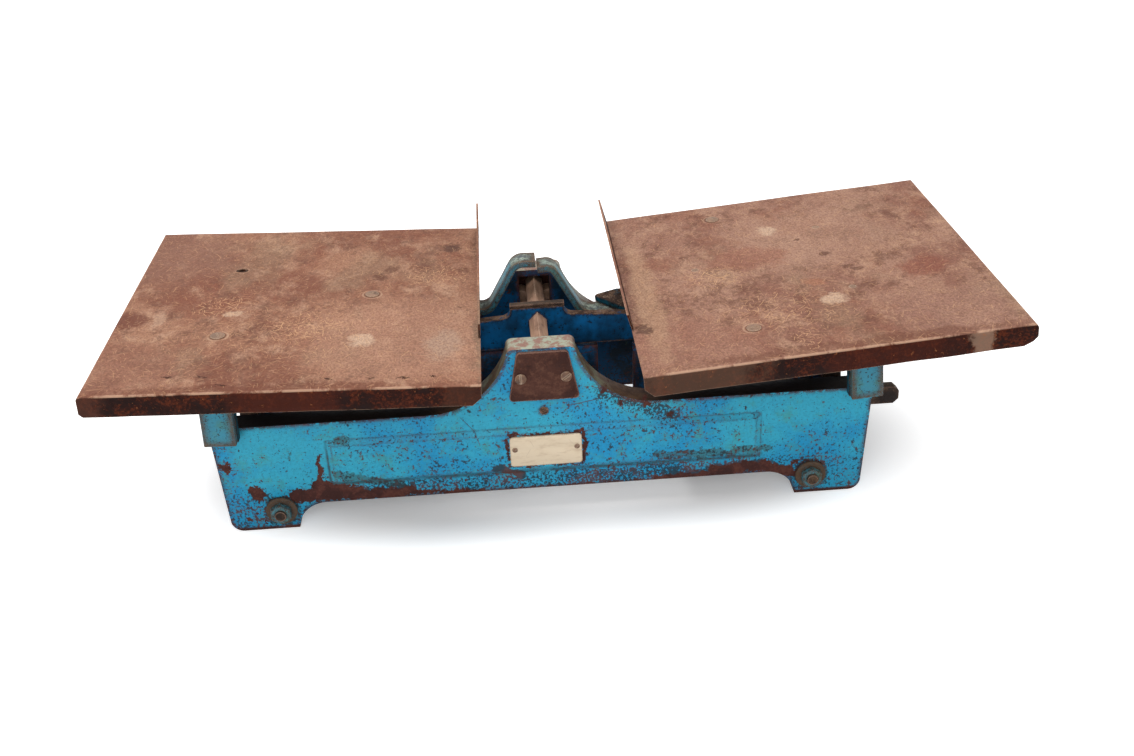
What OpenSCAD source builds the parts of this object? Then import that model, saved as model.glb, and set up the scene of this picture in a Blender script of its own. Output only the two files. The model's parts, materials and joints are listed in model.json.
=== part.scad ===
// Two-pan counter scale: a cast housing carries an equal-armed beam on knife edges, two flat
// sheet pans ride on carriers hung from the beam's ends, and a check link keeps them upright.
// Millimetres, +Z up, origin on the table below the middle of the whole object.

/* [Housing] */
// Half length of the housing where it meets the table
body_half_l = 233.5; // [230:0.5:240]
// Depth of the housing over its two walls
body_d = 150; // [146:1:160]
// Height of the walls away from the middle
shoulder_h = 88; // [84:0.5:90]
// Height of the humps that hold the fulcrum
hump_h = 136.2; // [134:0.2:140]
// Outward lean of the ends for each millimetre of height
end_lean = 0.045; // [0:0.005:0.06]
// Thickness of the cast walls
wall_t = 6; // [5:0.5:8]
// Width of the thick rim along the top of the walls
rim_w = 18; // [16:0.5:19]
// Depth of the thick rim below the shoulder
rim_h = 10; // [6:1:14]
// Half width of the hump at its flat top
hump_top_half = 23.2; // [22:0.1:24]
// Half width of the hump where its flank starts to sweep out
hump_side_half = 26.4; // [26:0.1:28]
// Radius of the swept flanks of the hump
sweep_r = 60; // [58:1:66]
// Distance from the middle to where the sweep meets the shoulder
sweep_x = 82; // [80:1:84]
// Corner radius of the hump
hump_r = 5; // [3:0.5:6]
// How much narrower the rear hump is on each side
rear_hump_less = 3; // [0:0.5:4]
// Length of each foot along the table
foot_l = 50; // [44:1:56]
// Height of the arch between the feet
arch_h = 20.5; // [16:0.5:24]
// Corner radius at the outer bottom of the feet
foot_r = 9; // [5:0.5:12]
// Half width of the opening in each end wall
end_gap_half = 32; // [28:1:40]
// Height of the end wall below that opening
end_sill_h = 14; // [10:0.5:16]
// Height of the underside of the end walls and ribs
underside_h = 6; // [4:1:10]

/* [Raised panel and name plate] */
// Half length of the raised panel
panel_half_l = 157; // [140:1:165]
// Height of the panel's lower edge
panel_z0 = 35.5; // [30:0.5:38]
// Height of the panel's upper edge
panel_z1 = 73; // [70:0.5:76]
// How far the panel stands out of the wall
panel_t = 3; // [2:0.5:4]
// Width of the panel's bevel
panel_bevel = 4; // [2:0.5:6]
// Length of the name plate
plate_l = 52; // [46:1:60]
// Height of the name plate
plate_h = 24.8; // [20:0.2:28]
// Thickness of the name plate
plate_t = 1; // [0.8:0.1:2]
// Corner radius of the name plate
plate_r = 2.5; // [1:0.5:4]
// Height of the name plate above the panel's middle
plate_rise = 0.8; // [0:0.1:1.5]
// Half distance between the name plate's pins
plate_pin_x = 22.4; // [18:0.2:23]
// Height of the pins above the plate's middle
plate_pin_rise = 1.8; // [0:0.2:4]
// Head radius of the name plate's pins
plate_pin_r = 2; // [1.5:0.1:2.4]
// Shank radius of those pins
plate_shank_r = 0.9; // [0.6:0.1:1.2]

/* [Middle web and ribs] */
// Thickness of the middle web below the beam
web_t = 7; // [5:0.5:8]
// Half length of the web
web_half_l = 100; // [90:1:110]
// Height of the web's lower edge
web_z0 = 22; // [18:1:24]
// Gap between the level beam and the web's middle part
web_beam_gap = 2.2; // [2:0.2:5]
// Nearest side of the web's windows to the middle
web_gap_x0 = 45; // [40:1:50]
// Farthest side of the web's windows from the middle
web_gap_x1 = 72; // [65:1:78]
// Height of the bottom of the web's windows
web_gap_z = 50; // [46:1:60]
// How much lower the web's outer parts are than its middle part
web_step = 2.6; // [2.4:0.2:6]
// Thickness of the cross ribs at the web's ends
rib_t = 6; // [5:0.5:8]
// Height of the top of the cross ribs
rib_top = 70; // [60:1:76]
// Gap left in the cross ribs all round the check link
rib_gap = 2; // [1.5:0.5:4]

/* [Tie rods] */
// Distance of the tie rods from the housing's end
rod_in = 38; // [34:0.5:42]
// Height of the tie rods
rod_z = 16.5; // [15:0.5:17]
// Radius of the tie rods
rod_r = 4; // [3:0.1:4.2]
// Radial play of the tie rods in the walls
rod_play = 0.3; // [0.2:0.05:0.6]
// Outer radius of the washers
washer_r = 11.4; // [10:0.1:12]
// Thickness of the washers
washer_t = 2.2; // [1.5:0.1:3]
// Width across the flats of the nuts
nut_af = 14; // [12:0.5:16]
// Thickness of the nuts
nut_t = 5.5; // [4:0.5:7]
// Length of rod that stands out of each nut
rod_end = 1.6; // [1:0.2:3]

/* [Fulcrum and its bearings] */
// Distance of the fulcrum to the right of the housing's middle
beam_x = 0.8; // [0:0.1:1.2]
// Height of the fulcrum's knife edge
fulcrum_h = 112; // [111:0.5:113]
// Width of the fulcrum shaft
fulcrum_w = 13; // [11:0.2:14]
// Height of the fulcrum shaft from its knife edge to its ridge
fulcrum_t = 17; // [15:0.2:18]
// Half length of the fulcrum shaft
fulcrum_half_l = 70; // [66:0.5:71]
// Half width of the bearing pockets in the humps
pocket_half = 12; // [11.5:0.1:12.4]
// Height of the floor of the bearing pockets
pocket_z0 = 97; // [94:0.5:100]
// Play round the bearing blocks in their pockets
block_play = 0.1; // [0.05:0.05:0.3]
// Depth of the bearing blocks along the shaft
block_d = 12; // [10:0.5:13]
// How far the bearing blocks rise above the knife edge
block_rise = 5; // [4:0.5:6]
// Gap between a knife edge and the bottom of its groove
edge_gap = 0.06; // [0.04:0.01:0.1]
// Half angle of the bearing grooves
groove_half_angle = 62; // [58:1:66]
// Half width of the bearing covers at the top
cover_top_half = 18.5; // [17:0.5:19]
// Half width of the bearing covers at the bottom
cover_bot_half = 24.7; // [22:0.5:26]
// Height of the lower edge of the bearing covers
cover_z0 = 96; // [93:0.5:96]
// Height of the upper edge of the bearing covers
cover_z1 = 134.4; // [132:0.2:134.6]
// Thickness of the bearing covers
cover_t = 2.4; // [1.8:0.2:3]
// Corner radius of the bearing covers
cover_r = 3; // [1.5:0.5:4]
// Half distance between the cover screws
cover_screw_x = 16; // [15.6:0.1:17]
// Height of the cover screws
cover_screw_z = 114; // [110:0.5:118]
// Shank radius of the cover screws
cover_screw_r = 2; // [1.5:0.1:2.4]
// Head radius of the cover screws
cover_head_r = 4; // [3.4:0.1:5]
// Height of the small set screw below each cover
set_screw_z = 86; // [82:0.5:88]
// Shank radius of the set screws
set_screw_r = 2.5; // [2:0.1:3]
// Head radius of the set screws
set_head_r = 3.2; // [3:0.1:4]

/* [Beam] */
// Distance from the fulcrum to each end knife edge
knife_x = 226.5; // [223:0.5:228]
// Tilt of the beam as it stands, right side up
beam_tilt = 0.6; // [0:0.1:1]
// Thickness of the beam's bar
beam_t = 7; // [6:0.5:8]
// Height of the bar's top above the knife edges near the middle
beam_top = 13; // [10:0.5:14]
// Depth of the bar's underside below the knife edges
beam_bot = 12; // [10:0.5:12.5]
// Height of the bar's top above the knife edges near its ends
beam_end_top = 1; // [0:0.5:3]
// Depth of the bar's underside below the knife edges near its ends
beam_end_bot = 15; // [13:0.5:16]
// Height of the hub's top above the knife edges
hub_top = 20.6; // [20:0.2:21.4]
// Half width of the hub's top
hub_half = 20; // [18:0.5:21]
// Radius of the fillets between hub and bar
hub_fillet = 7; // [4:0.5:7]
// Overhang of the cap plate past the hub at each end
cap_over = 0.4; // [0:0.2:2]
// Width of the cap plate across the beam
cap_w = 6; // [4:0.5:7]
// Thickness of the cap plate
cap_t = 2.6; // [1.6:0.2:3]
// Distance from the fulcrum to where the bar's underside starts to slope
beam_level_x = 150; // [140:1:170]
// Radius of the bosses that hold the end shafts
end_boss_r = 12; // [11:0.5:13]
// Width of those bosses across the beam
end_boss_w = 16; // [14:0.5:17]
// Width and height of the end shafts
end_shaft_w = 14; // [12:0.2:14.4]
// Depth of the hub's boss behind the bar
hub_boss_d = 6; // [4:0.5:8]
// Wall of that boss round the fulcrum shaft
hub_boss_wall = 3; // [2:0.5:4]
// Clearance of the shafts in the beam
shaft_fit = 0.02; // [0.01:0.01:0.05]
// Radius of the pins that lock the shafts in the beam
lock_pin_r = 1.6; // [1.2:0.1:2]

/* [Tare screw] */
// Distance of the tare screw's middle from the fulcrum
tare_x = 132; // [128:1:135]
// Distance of the tare screw in front of the beam's middle
tare_y = 15; // [14.5:0.5:18]
// Radius of the tare screw
tare_r = 3; // [2.5:0.1:3.2]
// Outer radius of the tare nut
tare_nut_r = 9; // [7:0.5:9.5]
// Length of the tare nut
tare_nut_l = 12; // [8:0.5:14]
// Distance between the ears that hold the tare screw
tare_span = 42; // [38:1:44]
// Thickness of those ears
tare_ear_t = 5; // [4:0.5:6]
// Metal round the tare screw in its ears
tare_ear_wall = 3; // [2.5:0.5:4]
// Depth of the tare screw below the knife edges
tare_drop = 4; // [2:0.5:5]

/* [Carriers] */
// Tilt of the left carrier as it stands, outer end up
left_tilt = 2.36; // [0:0.02:3]
// Tilt of the right carrier as it stands, outer end up
right_tilt = 4.64; // [3:0.02:4.8]
// Width of the carriers' legs and cross bars
leg_w = 23.5; // [22:0.5:25]
// Gap between the legs and the housing
leg_gap = 2.2; // [1.6:0.2:3]
// Thickness of the legs
leg_t = 6; // [5:0.5:7]
// How far the legs reach below the knife edges
leg_drop = 27.6; // [24:0.2:29]
// Thickness of the plates over the legs
leg_plate_t = 6; // [4:0.5:7]
// How much narrower those plates are than the legs, each side
leg_plate_in = 0.5; // [0:0.1:1]
// Half width of the bearing windows in the legs
window_half = 9; // [8.8:0.1:9.4]
// Play of the shafts' undersides above the windows' lower edges
window_play = 2.5; // [2:0.5:4]
// Height of the cross bars' underside above the knife edges
bar_z0 = 12; // [10:0.5:13]
// Height of the cross bars' top above the knife edges
bar_z1 = 21; // [19:0.5:22]
// Gap between the beam's side and the carriers' arms
arm_gap = 2.5; // [2:0.5:4]
// Width of the carriers' arms
arm_w = 12; // [10:0.5:14]
// Height of the left arm's underside above its knife edge
left_arm_z = 15.4; // [12:0.2:16]
// Height of the right arm's underside above its knife edge
right_arm_z = 10.2; // [9:0.2:16]
// Thickness of the arms at their inner ends
arm_tip_t = 4.5; // [3.5:0.5:6]
// Reach of the arms from the knife edge towards the middle
arm_reach = 179; // [174:0.5:181]
// Distance of the corner of the arms' inner ends from the middle plane
arm_tip_far = 50.5; // [48:0.5:52]
// Cut of the arms' inner ends along the scale
arm_cut_x = 25; // [20:1:30]
// Cut of the arms' inner ends across the scale
arm_cut_y = 34; // [28:1:36]
// Distance of the far pan post behind the middle plane
post_far = 60; // [55:1:64]
// Distance of the near pan post in front of the middle plane
post_near = 50; // [46:1:55]
// Distance of the inner pan post from the knife edge
post_in = 103; // [96:1:106]
// Radius of the pan posts
post_r = 7; // [5:0.5:8]

/* [Stems and check link] */
// Height from the knife edge down to the check link's pin
stem_l = 76; // [74:0.5:77]
// Width of the stems
stem_w = 14; // [13:0.5:15]
// Thickness of the stems
stem_t = 5; // [4:0.5:6]
// Width of the stems' heads, which are open for the end shafts
stem_head_w = 25; // [24:0.5:28]
// Height of the strap below the opening in the stems' heads
stem_strap = 7; // [5:0.5:10]
// Radius of the rivets that hold the stems
stem_rivet_r = 1.8; // [1.4:0.1:2]
// Radius of the check link's end pins
link_pin_r = 4; // [3.5:0.1:4.2]
// Thickness of the check link
link_t = 5; // [4:0.5:6]
// Half depth of the check link's bar
link_half_h = 6; // [5.5:0.1:6.2]
// Gap between the web and the check link
link_gap = 2.5; // [1.5:0.5:3]
// How far the link's worn slots reach inwards of the knife edges
slot_in = 4; // [2:0.5:6]
// How far the link's worn slots reach outwards of the knife edges
slot_out = 8.5; // [8:0.5:10]
// Play of the end pins in the slots, each side
slot_play = 0.7; // [0.6:0.1:1.2]
// Wall of the link round its slots
slot_wall = 5; // [4:0.5:5.4]
// Radius of the pin on which the link turns
pivot_r = 5; // [4:0.1:5.4]
// Radial play of turning parts on their pins
turn_play = 0.05; // [0.03:0.01:0.09]
// Width of the pin heads' rims
pin_rim = 3; // [2:0.5:4]

/* [Pointers] */
// Reach of the left pointer from its knife edge
left_pointer_reach = 225.8; // [225:0.1:226]
// Reach of the right pointer from its knife edge
right_pointer_reach = 220.8; // [219:0.1:221]
// Height of the left pointer's tip above its knife edge
left_pointer_h = 53.7; // [48:0.1:55]
// Height of the right pointer's tip above its knife edge
right_pointer_h = 52.7; // [48:0.1:55]
// Level length at the left pointer's tip
left_tip_l = 9; // [3:0.5:12]
// Level length at the right pointer's tip
right_tip_l = 6.5; // [3:0.5:12]
// Outer radius of the left pointer's upper bend
left_bend_r = 12.4; // [9:0.2:16]
// Outer radius of the right pointer's upper bend
right_bend_r = 9.4; // [7:0.2:14]
// Slope of the left pointer's rise in degrees
left_slope = 63; // [60:0.5:74]
// Slope of the right pointer's rise in degrees
right_slope = 66.2; // [60:0.2:72]
// Inner radius of the left pointer's lower bend
left_low_r = 8.5; // [6:0.5:14]
// Inner radius of the right pointer's lower bend
right_low_r = 12.5; // [6:0.5:14]
// Thickness of the pointers
pointer_t = 4.5; // [3.5:0.5:5]
// Width of the pointers across the scale
pointer_w = 18.6; // [16:0.2:22]
// Distance of the pointers' far edge from the middle plane
pointer_far = 50.3; // [48:0.1:54]
// Length of the pointers from tip to end
pointer_run = 80; // [76:1:86]
// Thickness of the packing between pointer and arm
pointer_seam = 1.2; // [0.6:0.2:2]

/* [Pans] */
// Length of each pan along the scale
pan_l = 259; // [250:1:264]
// Depth of each pan across the scale
pan_d = 270.5; // [262:0.5:276]
// Thickness of the pan sheet
pan_t = 1.6; // [1.2:0.1:2]
// Height of the turned-down edges
apron_h = 15.5; // [13:0.5:17]
// Outer radius of the bends
pan_bend = 3.2; // [2.2:0.2:4]
// Corner cut at the inner lower ends of the turned-down edges
apron_cut = 6; // [3:0.5:8]
// Corner cut at the outer lower corners of the left pan
left_corner_cut = 2.5; // [1:0.5:6]
// Corner cut at the outer lower corners of the right pan
right_corner_cut = 6; // [1:0.5:8]
// Distance of the left pan's inner edge from its knife edge
left_pan_in = 183; // [179:0.1:187]
// Distance of the right pan's inner edge from its knife edge
right_pan_in = 160.4; // [157:0.1:165]
// Height of the left pan's top above its knife edge
left_pan_h = 39.3; // [38:0.1:41]
// Height of the right pan's top above its knife edge
right_pan_h = 42.3; // [40:0.1:44]
// Shift of the left pan away from the viewer
left_pan_shift = 4.3; // [0:0.1:5]
// Shift of the right pan away from the viewer
right_pan_shift = -3.3; // [-5:0.1:0]
// Height of the left pan's upturned flange at its far end
left_flange_h1 = 21; // [15:0.5:24]
// Height of the left pan's upturned flange at its near end
left_flange_h0 = 11; // [8:0.5:14]
// Height of the right pan's upturned flange at its far end
right_flange_h1 = 19.5; // [15:0.5:24]
// Height of the right pan's upturned flange at its near end
right_flange_h0 = 13; // [8:0.5:14]
// Lean of the right pan's flange towards the middle
right_flange_lean = 11; // [0:1:15]
// Length of the near part of the pans without a flange
flange_start = 67; // [55:1:80]
// Radius of the screw holes in the pans
pan_hole_r = 2.8; // [2.4:0.1:3.2]
// Head radius of the pan rivets
rivet_r = 5; // [4:0.2:6]
// Head height of the pan rivets
rivet_h = 0.8; // [0.5:0.1:1.5]
// Length of the stiffener under the right pan
stiffener_l = 222; // [214:1:226]
// Width of the stiffener
stiffener_w = 24; // [20:1:28]
// Thickness of the stiffener
stiffener_t = 3; // [2:0.5:4]
// Distance of the stiffener's rivets from the knife edge
stiffener_u = 75; // [70:1:80]
// How much further inward the stiffener's near rivet is
stiffener_near_in = 4; // [0:0.5:6]
// Shift of the stiffener away from the viewer
stiffener_shift = 5; // [2:0.5:6]
// Half distance between the stiffener's rivets
stiffener_rivet = 97; // [92:1:99]

/* [Lock lever] */
// Distance of the lever's pivot from the housing's end
lock_in = 28.5; // [27.5:0.5:31]
// Height of the lever's pivot
lock_z = 49; // [48:0.5:52]
// Distance of the lever in front of the middle plane
lock_y = 20; // [18:0.5:24]
// Thickness of the lever
lock_t = 8; // [6:0.5:10]
// Height of the lever's tail
lock_h = 14.6; // [13:0.2:17]
// Reach of the tail from the pivot
lock_tail = 70; // [64:1:76]
// Reach of the finger from the pivot
lock_arm = 50; // [46:1:54]
// Cut on the corners of the tail's end
lock_cut = 4; // [2:0.5:5]
// Radius of the lever's pivot pin
lock_pin = 4; // [3:0.1:4.5]
// Wall of the boss round that pin
lock_boss_wall = 4; // [3:0.5:6]
// Radius of the finger under the beam
finger_r = 4; // [3:0.5:5]
// Drop of the finger below the beam as it stands unlocked
finger_drop = 11.5; // [10:0.5:13]

/* [Hidden] */
$fn = 64;

paint = [0.16, 0.62, 0.78];
paint_dark = [0.05, 0.36, 0.55];
rust = [0.42, 0.27, 0.22];
steel = [0.62, 0.52, 0.42];
plate_col = [0.84, 0.77, 0.66];

half_d = body_d / 2;
sweep_z = shoulder_h + sweep_r;
flank_z = sweep_z - sqrt(sweep_r * sweep_r - pow(sweep_x - hump_side_half, 2));
hump_lean = (hump_side_half - hump_top_half) / (hump_h - flank_z);
hump_corner_z = hump_h - hump_r;
hump_corner_half = hump_top_half + hump_lean * hump_r;
end_top = body_half_l + end_lean * shoulder_h;
arch_r = arch_h + 1.5;
arch_x = body_half_l - foot_l - arch_r + 1;
foot_top = 28;
rod_x = body_half_l - rod_in;
lock_x = body_half_l - lock_in;
left_pan_out = pan_l - left_pan_in;
right_pan_out = pan_l - right_pan_in;
fulcrum_top = fulcrum_h + fulcrum_t;
pocket_z1 = fulcrum_top + 2;
web_top = fulcrum_h - beam_bot - web_beam_gap;
cover_screw_l = 9;
set_screw_l = 6;
screw_head_h = 1.2;
set_head_h = 0.8;
slot_w = 1.2;
slot_turns = [88, 35, 20];
pin_head_h = 0.7;
plate_z = (panel_z0 + panel_z1) / 2 + plate_rise;
pin_z = plate_z + plate_pin_rise;

left_knife_z = fulcrum_h - knife_x * sin(beam_tilt);
right_knife_z = fulcrum_h + knife_x * sin(beam_tilt);
knife_dx = knife_x * cos(beam_tilt);
left_end_x = knife_dx - beam_x + left_pan_out * cos(left_tilt)
    - (left_pan_h - apron_h) * sin(left_tilt);
right_end_x = knife_dx + beam_x + right_pan_out * cos(right_tilt)
    - (right_pan_h - apron_h) * sin(right_tilt);
body_x = (left_end_x - right_end_x) / 2;

leg_y0 = half_d + leg_gap;
leg_y1 = leg_y0 + leg_t;
end_shaft_half_l = leg_y1 - 0.5;
saddle_h = 7.5;
saddle_skirt = 4.5;
arm_y0 = beam_t / 2 + arm_gap;
arm_y1 = arm_y0 + arm_w;
arm_z1 = bar_z1 - 1;
post_in_y = arm_y0 + arm_w / 2;
arm_start = post_in + post_r;

link_y0 = web_t / 2 + link_gap;
link_y1 = link_y0 + link_t;
link_z = fulcrum_h - stem_l * (cos(left_tilt) + cos(right_tilt)) / 2;
link_end_r = link_pin_r + slot_play + slot_wall;
link_head_t = 1.8;
link_rim = 2;
pin_rim_t = 2.5;
side_play = 0.5;
stem_y0 = link_y1 + 2.5;
stem_y1 = stem_y0 + stem_t;
stem_pad_t = stem_y0 - end_boss_w / 2 - 1.5;
stem_pad_z = 4;
stem_top = bar_z0 - 0.5;
stem_window_z1 = 2.5;
stem_rivet_x = [-5.5, 5.5];
stem_rivet_z = (stem_window_z1 + stem_top) / 2 + 0.3;
window_z0 = -end_shaft_w - window_play;
saddle_play = 0.1;

pointer_y0 = pointer_far - pointer_w;
pointer_screw_u = [arm_reach - 8, arm_reach - 26];
pointer_screw_y = arm_tip_far - 6;
pointer_screw_r = 2;
pointer_head_r = 3.6;
pointer_head_h = 2.5;
post_holes = [[0, post_far], [0, -post_near], [-post_in, post_in_y]];
left_rivets = [[0, -post_near], [-post_in, post_in_y]];
stiffener_rivets = [
    [-stiffener_u, stiffener_shift + stiffener_rivet],
    [-stiffener_u - stiffener_near_in, stiffener_shift - stiffener_rivet]
];
heads_l = 14;
finger_z = fulcrum_h - beam_bot - finger_drop - finger_r;
tare_z = -tare_drop;

// Places a piece of the housing
module at_body() {
    translate([body_x, 0, 0]) children();
}

// Places a piece of the housing that is centred on the fulcrum
module at_fulcrum() {
    translate([body_x + beam_x, 0, 0]) children();
}

// Places a piece of the beam, drawn level with its knife edge at the origin
module at_beam() {
    translate([body_x + beam_x, 0, fulcrum_h]) rotate([0, -beam_tilt, 0]) children();
}

// Places a piece of the right carrier, drawn level with +X outwards from its knife edge
module at_right() {
    translate([body_x + beam_x + knife_dx, 0, right_knife_z]) rotate([0, -right_tilt, 0]) children();
}

// Places a piece of the left carrier, drawn as for the right one
module at_left() {
    translate([body_x + beam_x - knife_dx, 0, left_knife_z]) rotate([0, left_tilt, 0])
        mirror([1, 0, 0]) children();
}

// Extrudes an outline drawn in X and Z from y0 to y1
module across(y0, y1) {
    translate([0, y1, 0]) rotate([90, 0, 0]) linear_extrude(height = y1 - y0) children();
}

// Cylinder along Y
module cyl_y(r, y0, y1, x = 0, z = 0) {
    translate([x, y0, z]) rotate([-90, 0, 0]) cylinder(r = r, h = y1 - y0);
}

// Cylinder along X
module cyl_x(r, x0, x1, y = 0, z = 0) {
    translate([x0, y, z]) rotate([0, 90, 0]) cylinder(r = r, h = x1 - x0);
}

// Box between two corners
module box(a, b) {
    translate(a) cube(b - a);
}

// Section of a knife shaft w wide and h high, its knife edge at the origin
module knife_2d(w, h, grow = 0) {
    half = w / 2 + grow;
    tip = grow * sqrt(2);
    polygon([
        [0, -tip], [half, half - tip], [half, h - half + tip], [0, h + tip],
        [-half, h - half + tip], [-half, half - tip]
    ]);
}

// Knife shaft along Y with its knife edge at x and z
module knife_bar(w, h, half_l, x = 0, z = 0, grow = 0) {
    translate([x, 0, z]) across(-half_l, half_l) knife_2d(w, h, grow);
}

// Rectangle with rounded corners, centred
module round_rect(l, h, r) {
    square([l - 2 * r, h], center = true);
    square([l, h - 2 * r], center = true);
    for (sx = [-1, 1], sz = [-1, 1])
        translate([sx * (l / 2 - r), sz * (h / 2 - r)]) circle(r = r);
}

// Outline of a housing wall without the arch and feet
module wall_body_2d() {
    polygon([
        [-body_half_l, 0], [body_half_l, 0], [end_top, shoulder_h], [-end_top, shoulder_h]
    ]);
}

// Outline of a hump with its swept flanks, less narrower on each side
module hump_2d(less) {
    foot_x = sweep_x - less;
    side = hump_side_half - less;
    top = hump_corner_half - less;
    difference() {
        polygon([
            [-foot_x, shoulder_h - 1], [foot_x, shoulder_h - 1], [foot_x, shoulder_h],
            [side, flank_z], [top, hump_corner_z], [-top, hump_corner_z], [-side, flank_z],
            [-foot_x, shoulder_h]
        ]);
        for (s = [-1, 1]) translate([s * foot_x, sweep_z]) circle(r = sweep_r, $fn = 180);
    }
    translate([-top + hump_r, hump_corner_z - 1]) square([2 * (top - hump_r), hump_r + 1]);
    for (s = [-1, 1]) translate([s * (top - hump_r), hump_corner_z]) circle(r = hump_r);
}

// Outline of what is cut away below the walls: the arch and the feet's outer corners
module underside_2d() {
    translate([-arch_x, -1]) square([2 * arch_x, arch_h + 1]);
    for (s = [-1, 1]) {
        translate([s * arch_x, arch_h - arch_r]) circle(r = arch_r, $fn = 96);
        difference() {
            translate([s * (body_half_l + end_lean * foot_r - foot_r / 2 + 1), foot_r / 2 - 0.5])
                square([foot_r + 2, foot_r + 1], center = true);
            translate([s * (body_half_l + end_lean * foot_r - foot_r), foot_r])
                circle(r = foot_r);
        }
    }
}

// One housing wall, outer face at -half_d, with its thick rim, feet and bearing pocket, its
// hump shifted by hump_dx and less narrower on each side
module wall(hump_dx, less) {
    difference() {
        across(-half_d, -half_d + rim_w) difference() {
            union() {
                wall_body_2d();
                translate([hump_dx, 0]) hump_2d(less);
            }
            underside_2d();
        }
        box([-arch_x, -half_d + wall_t, -1], [arch_x, 0, shoulder_h - rim_h]);
        box([-body_half_l + wall_t, -half_d + wall_t, foot_top],
            [body_half_l - wall_t, 0, shoulder_h - rim_h]);
        box([beam_x - pocket_half, -half_d - 1, pocket_z0],
            [beam_x + pocket_half, -half_d + rim_w + 1, pocket_z1]);
        for (s = [-1, 1]) {
            cyl_y(rod_r + rod_play, -half_d - 1, 0, s * rod_x, rod_z);
            cyl_y(cover_screw_r, -half_d - 1, -half_d + cover_screw_l,
                beam_x + s * cover_screw_x, cover_screw_z);
        }
        cyl_y(set_screw_r, -half_d - 1, -half_d + set_screw_l + 1, 0, set_screw_z);
    }
}

// Raised panel with bevelled edges on the front wall
module panel() {
    y1 = -half_d - panel_t;
    intersection() {
        linear_extrude(height = shoulder_h) polygon([
            [-panel_half_l, -half_d + 1], [-panel_half_l, -half_d],
            [-panel_half_l + panel_bevel, y1], [panel_half_l - panel_bevel, y1],
            [panel_half_l, -half_d], [panel_half_l, -half_d + 1]
        ]);
        translate([-panel_half_l, 0, 0]) rotate([90, 0, 90])
            linear_extrude(height = 2 * panel_half_l) polygon([
                [-half_d + 1, panel_z0], [-half_d, panel_z0], [y1, panel_z0 + panel_bevel],
                [y1, panel_z1 - panel_bevel], [-half_d, panel_z1], [-half_d + 1, panel_z1]
            ]);
    }
}

// The two end walls with their openings
module end_walls() {
    difference() {
        across(-half_d + wall_t, half_d - wall_t) difference() {
            wall_body_2d();
            translate([0, -1]) polygon([
                [-body_half_l + wall_t, 0], [body_half_l - wall_t, 0],
                [end_top - wall_t, shoulder_h + 2], [-end_top + wall_t, shoulder_h + 2]
            ]);
        }
        box([-end_top - 1, -half_d, -1], [end_top + 1, half_d, underside_h]);
        box([-end_top - 1, -end_gap_half, end_sill_h], [end_top + 1, end_gap_half, hump_h]);
    }
}

// The web below the beam and the cross ribs that hold it
module middle_web() {
    side_top = web_top - web_step;
    difference() {
        union() {
            box([-web_gap_x0, -web_t / 2, web_z0], [web_gap_x0, web_t / 2, web_top]);
            box([-web_half_l, -web_t / 2, web_z0], [web_half_l, web_t / 2, side_top]);
            for (s = [-1, 1])
                box([s * web_half_l - rib_t / 2, -half_d + wall_t - 0.5, arch_h],
                    [s * web_half_l + rib_t / 2, half_d - wall_t + 0.5, rib_top]);
        }
        for (s = [-1, 1]) {
            mid = s * (web_gap_x0 + web_gap_x1) / 2;
            half = (web_gap_x1 - web_gap_x0) / 2;
            box([mid - half, -web_t, web_gap_z], [mid + half, web_t, fulcrum_h]);
            drop = link_half_h + web_half_l * sin(3) + rib_gap;
            box([s * web_half_l - rib_t, web_t / 2, link_z - drop],
                [s * web_half_l + rib_t, link_y1 + rib_gap, link_z + drop]);
        }
        cyl_y(pivot_r, -web_t, web_t, beam_x, link_z);
    }
}

// The boss on the front wall that carries the lock lever
module lock_boss() {
    difference() {
        cyl_y(lock_pin + lock_boss_wall, -half_d + wall_t - 0.5, -lock_y - lock_t / 2 - side_play,
            lock_x, lock_z);
        cyl_y(lock_pin, -half_d + wall_t + 4, 0, lock_x, lock_z);
    }
}

module base_casting() {
    color(paint) at_body() {
        difference() {
            union() {
                wall(0, 0);
                mirror([0, 1, 0]) wall(beam_x, rear_hump_less);
                panel();
            }
            for (s = [-1, 1])
                cyl_y(plate_shank_r, -half_d - panel_t - 1, -half_d + 2, s * plate_pin_x, pin_z);
        }
        end_walls();
        middle_web();
        lock_boss();
    }
}

// One bearing block with its groove, for the front hump
module bearing_block() {
    top = fulcrum_h + block_rise;
    w = pocket_half - block_play;
    y0 = -half_d + 2;
    reach = (block_rise + edge_gap + 1) * tan(groove_half_angle);
    difference() {
        box([-w, y0, pocket_z0 + block_play], [w, y0 + block_d, top]);
        across(y0 - 1, y0 + block_d + 1) polygon([
            [0, fulcrum_h - edge_gap], [reach, top + 1], [-reach, top + 1]
        ]);
    }
}

module front_bearing_block() { color(steel) at_fulcrum() bearing_block(); }
module rear_bearing_block() { color(steel) at_fulcrum() mirror([0, 1, 0]) bearing_block(); }

// One bearing cover plate for the front hump
module bearing_cover() {
    h = cover_z1 - cover_z0;
    mid = (cover_z0 + cover_z1) / 2;
    difference() {
        across(-half_d - cover_t, -half_d) {
            polygon([
                [-cover_bot_half, cover_z0 + cover_r], [-cover_bot_half + cover_r, cover_z0],
                [cover_bot_half - cover_r, cover_z0], [cover_bot_half, cover_z0 + cover_r],
                [cover_top_half, cover_z1 - cover_r], [cover_top_half - cover_r, cover_z1],
                [-cover_top_half + cover_r, cover_z1], [-cover_top_half, cover_z1 - cover_r]
            ]);
            for (s = [-1, 1]) {
                translate([s * (cover_bot_half - cover_r), cover_z0 + cover_r])
                    circle(r = cover_r);
                translate([s * (cover_top_half - cover_r), cover_z1 - cover_r])
                    circle(r = cover_r);
            }
        }
        for (s = [-1, 1])
            cyl_y(cover_screw_r, -half_d - cover_t - 1, -half_d + 1,
                s * cover_screw_x, cover_screw_z);
    }
}

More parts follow.
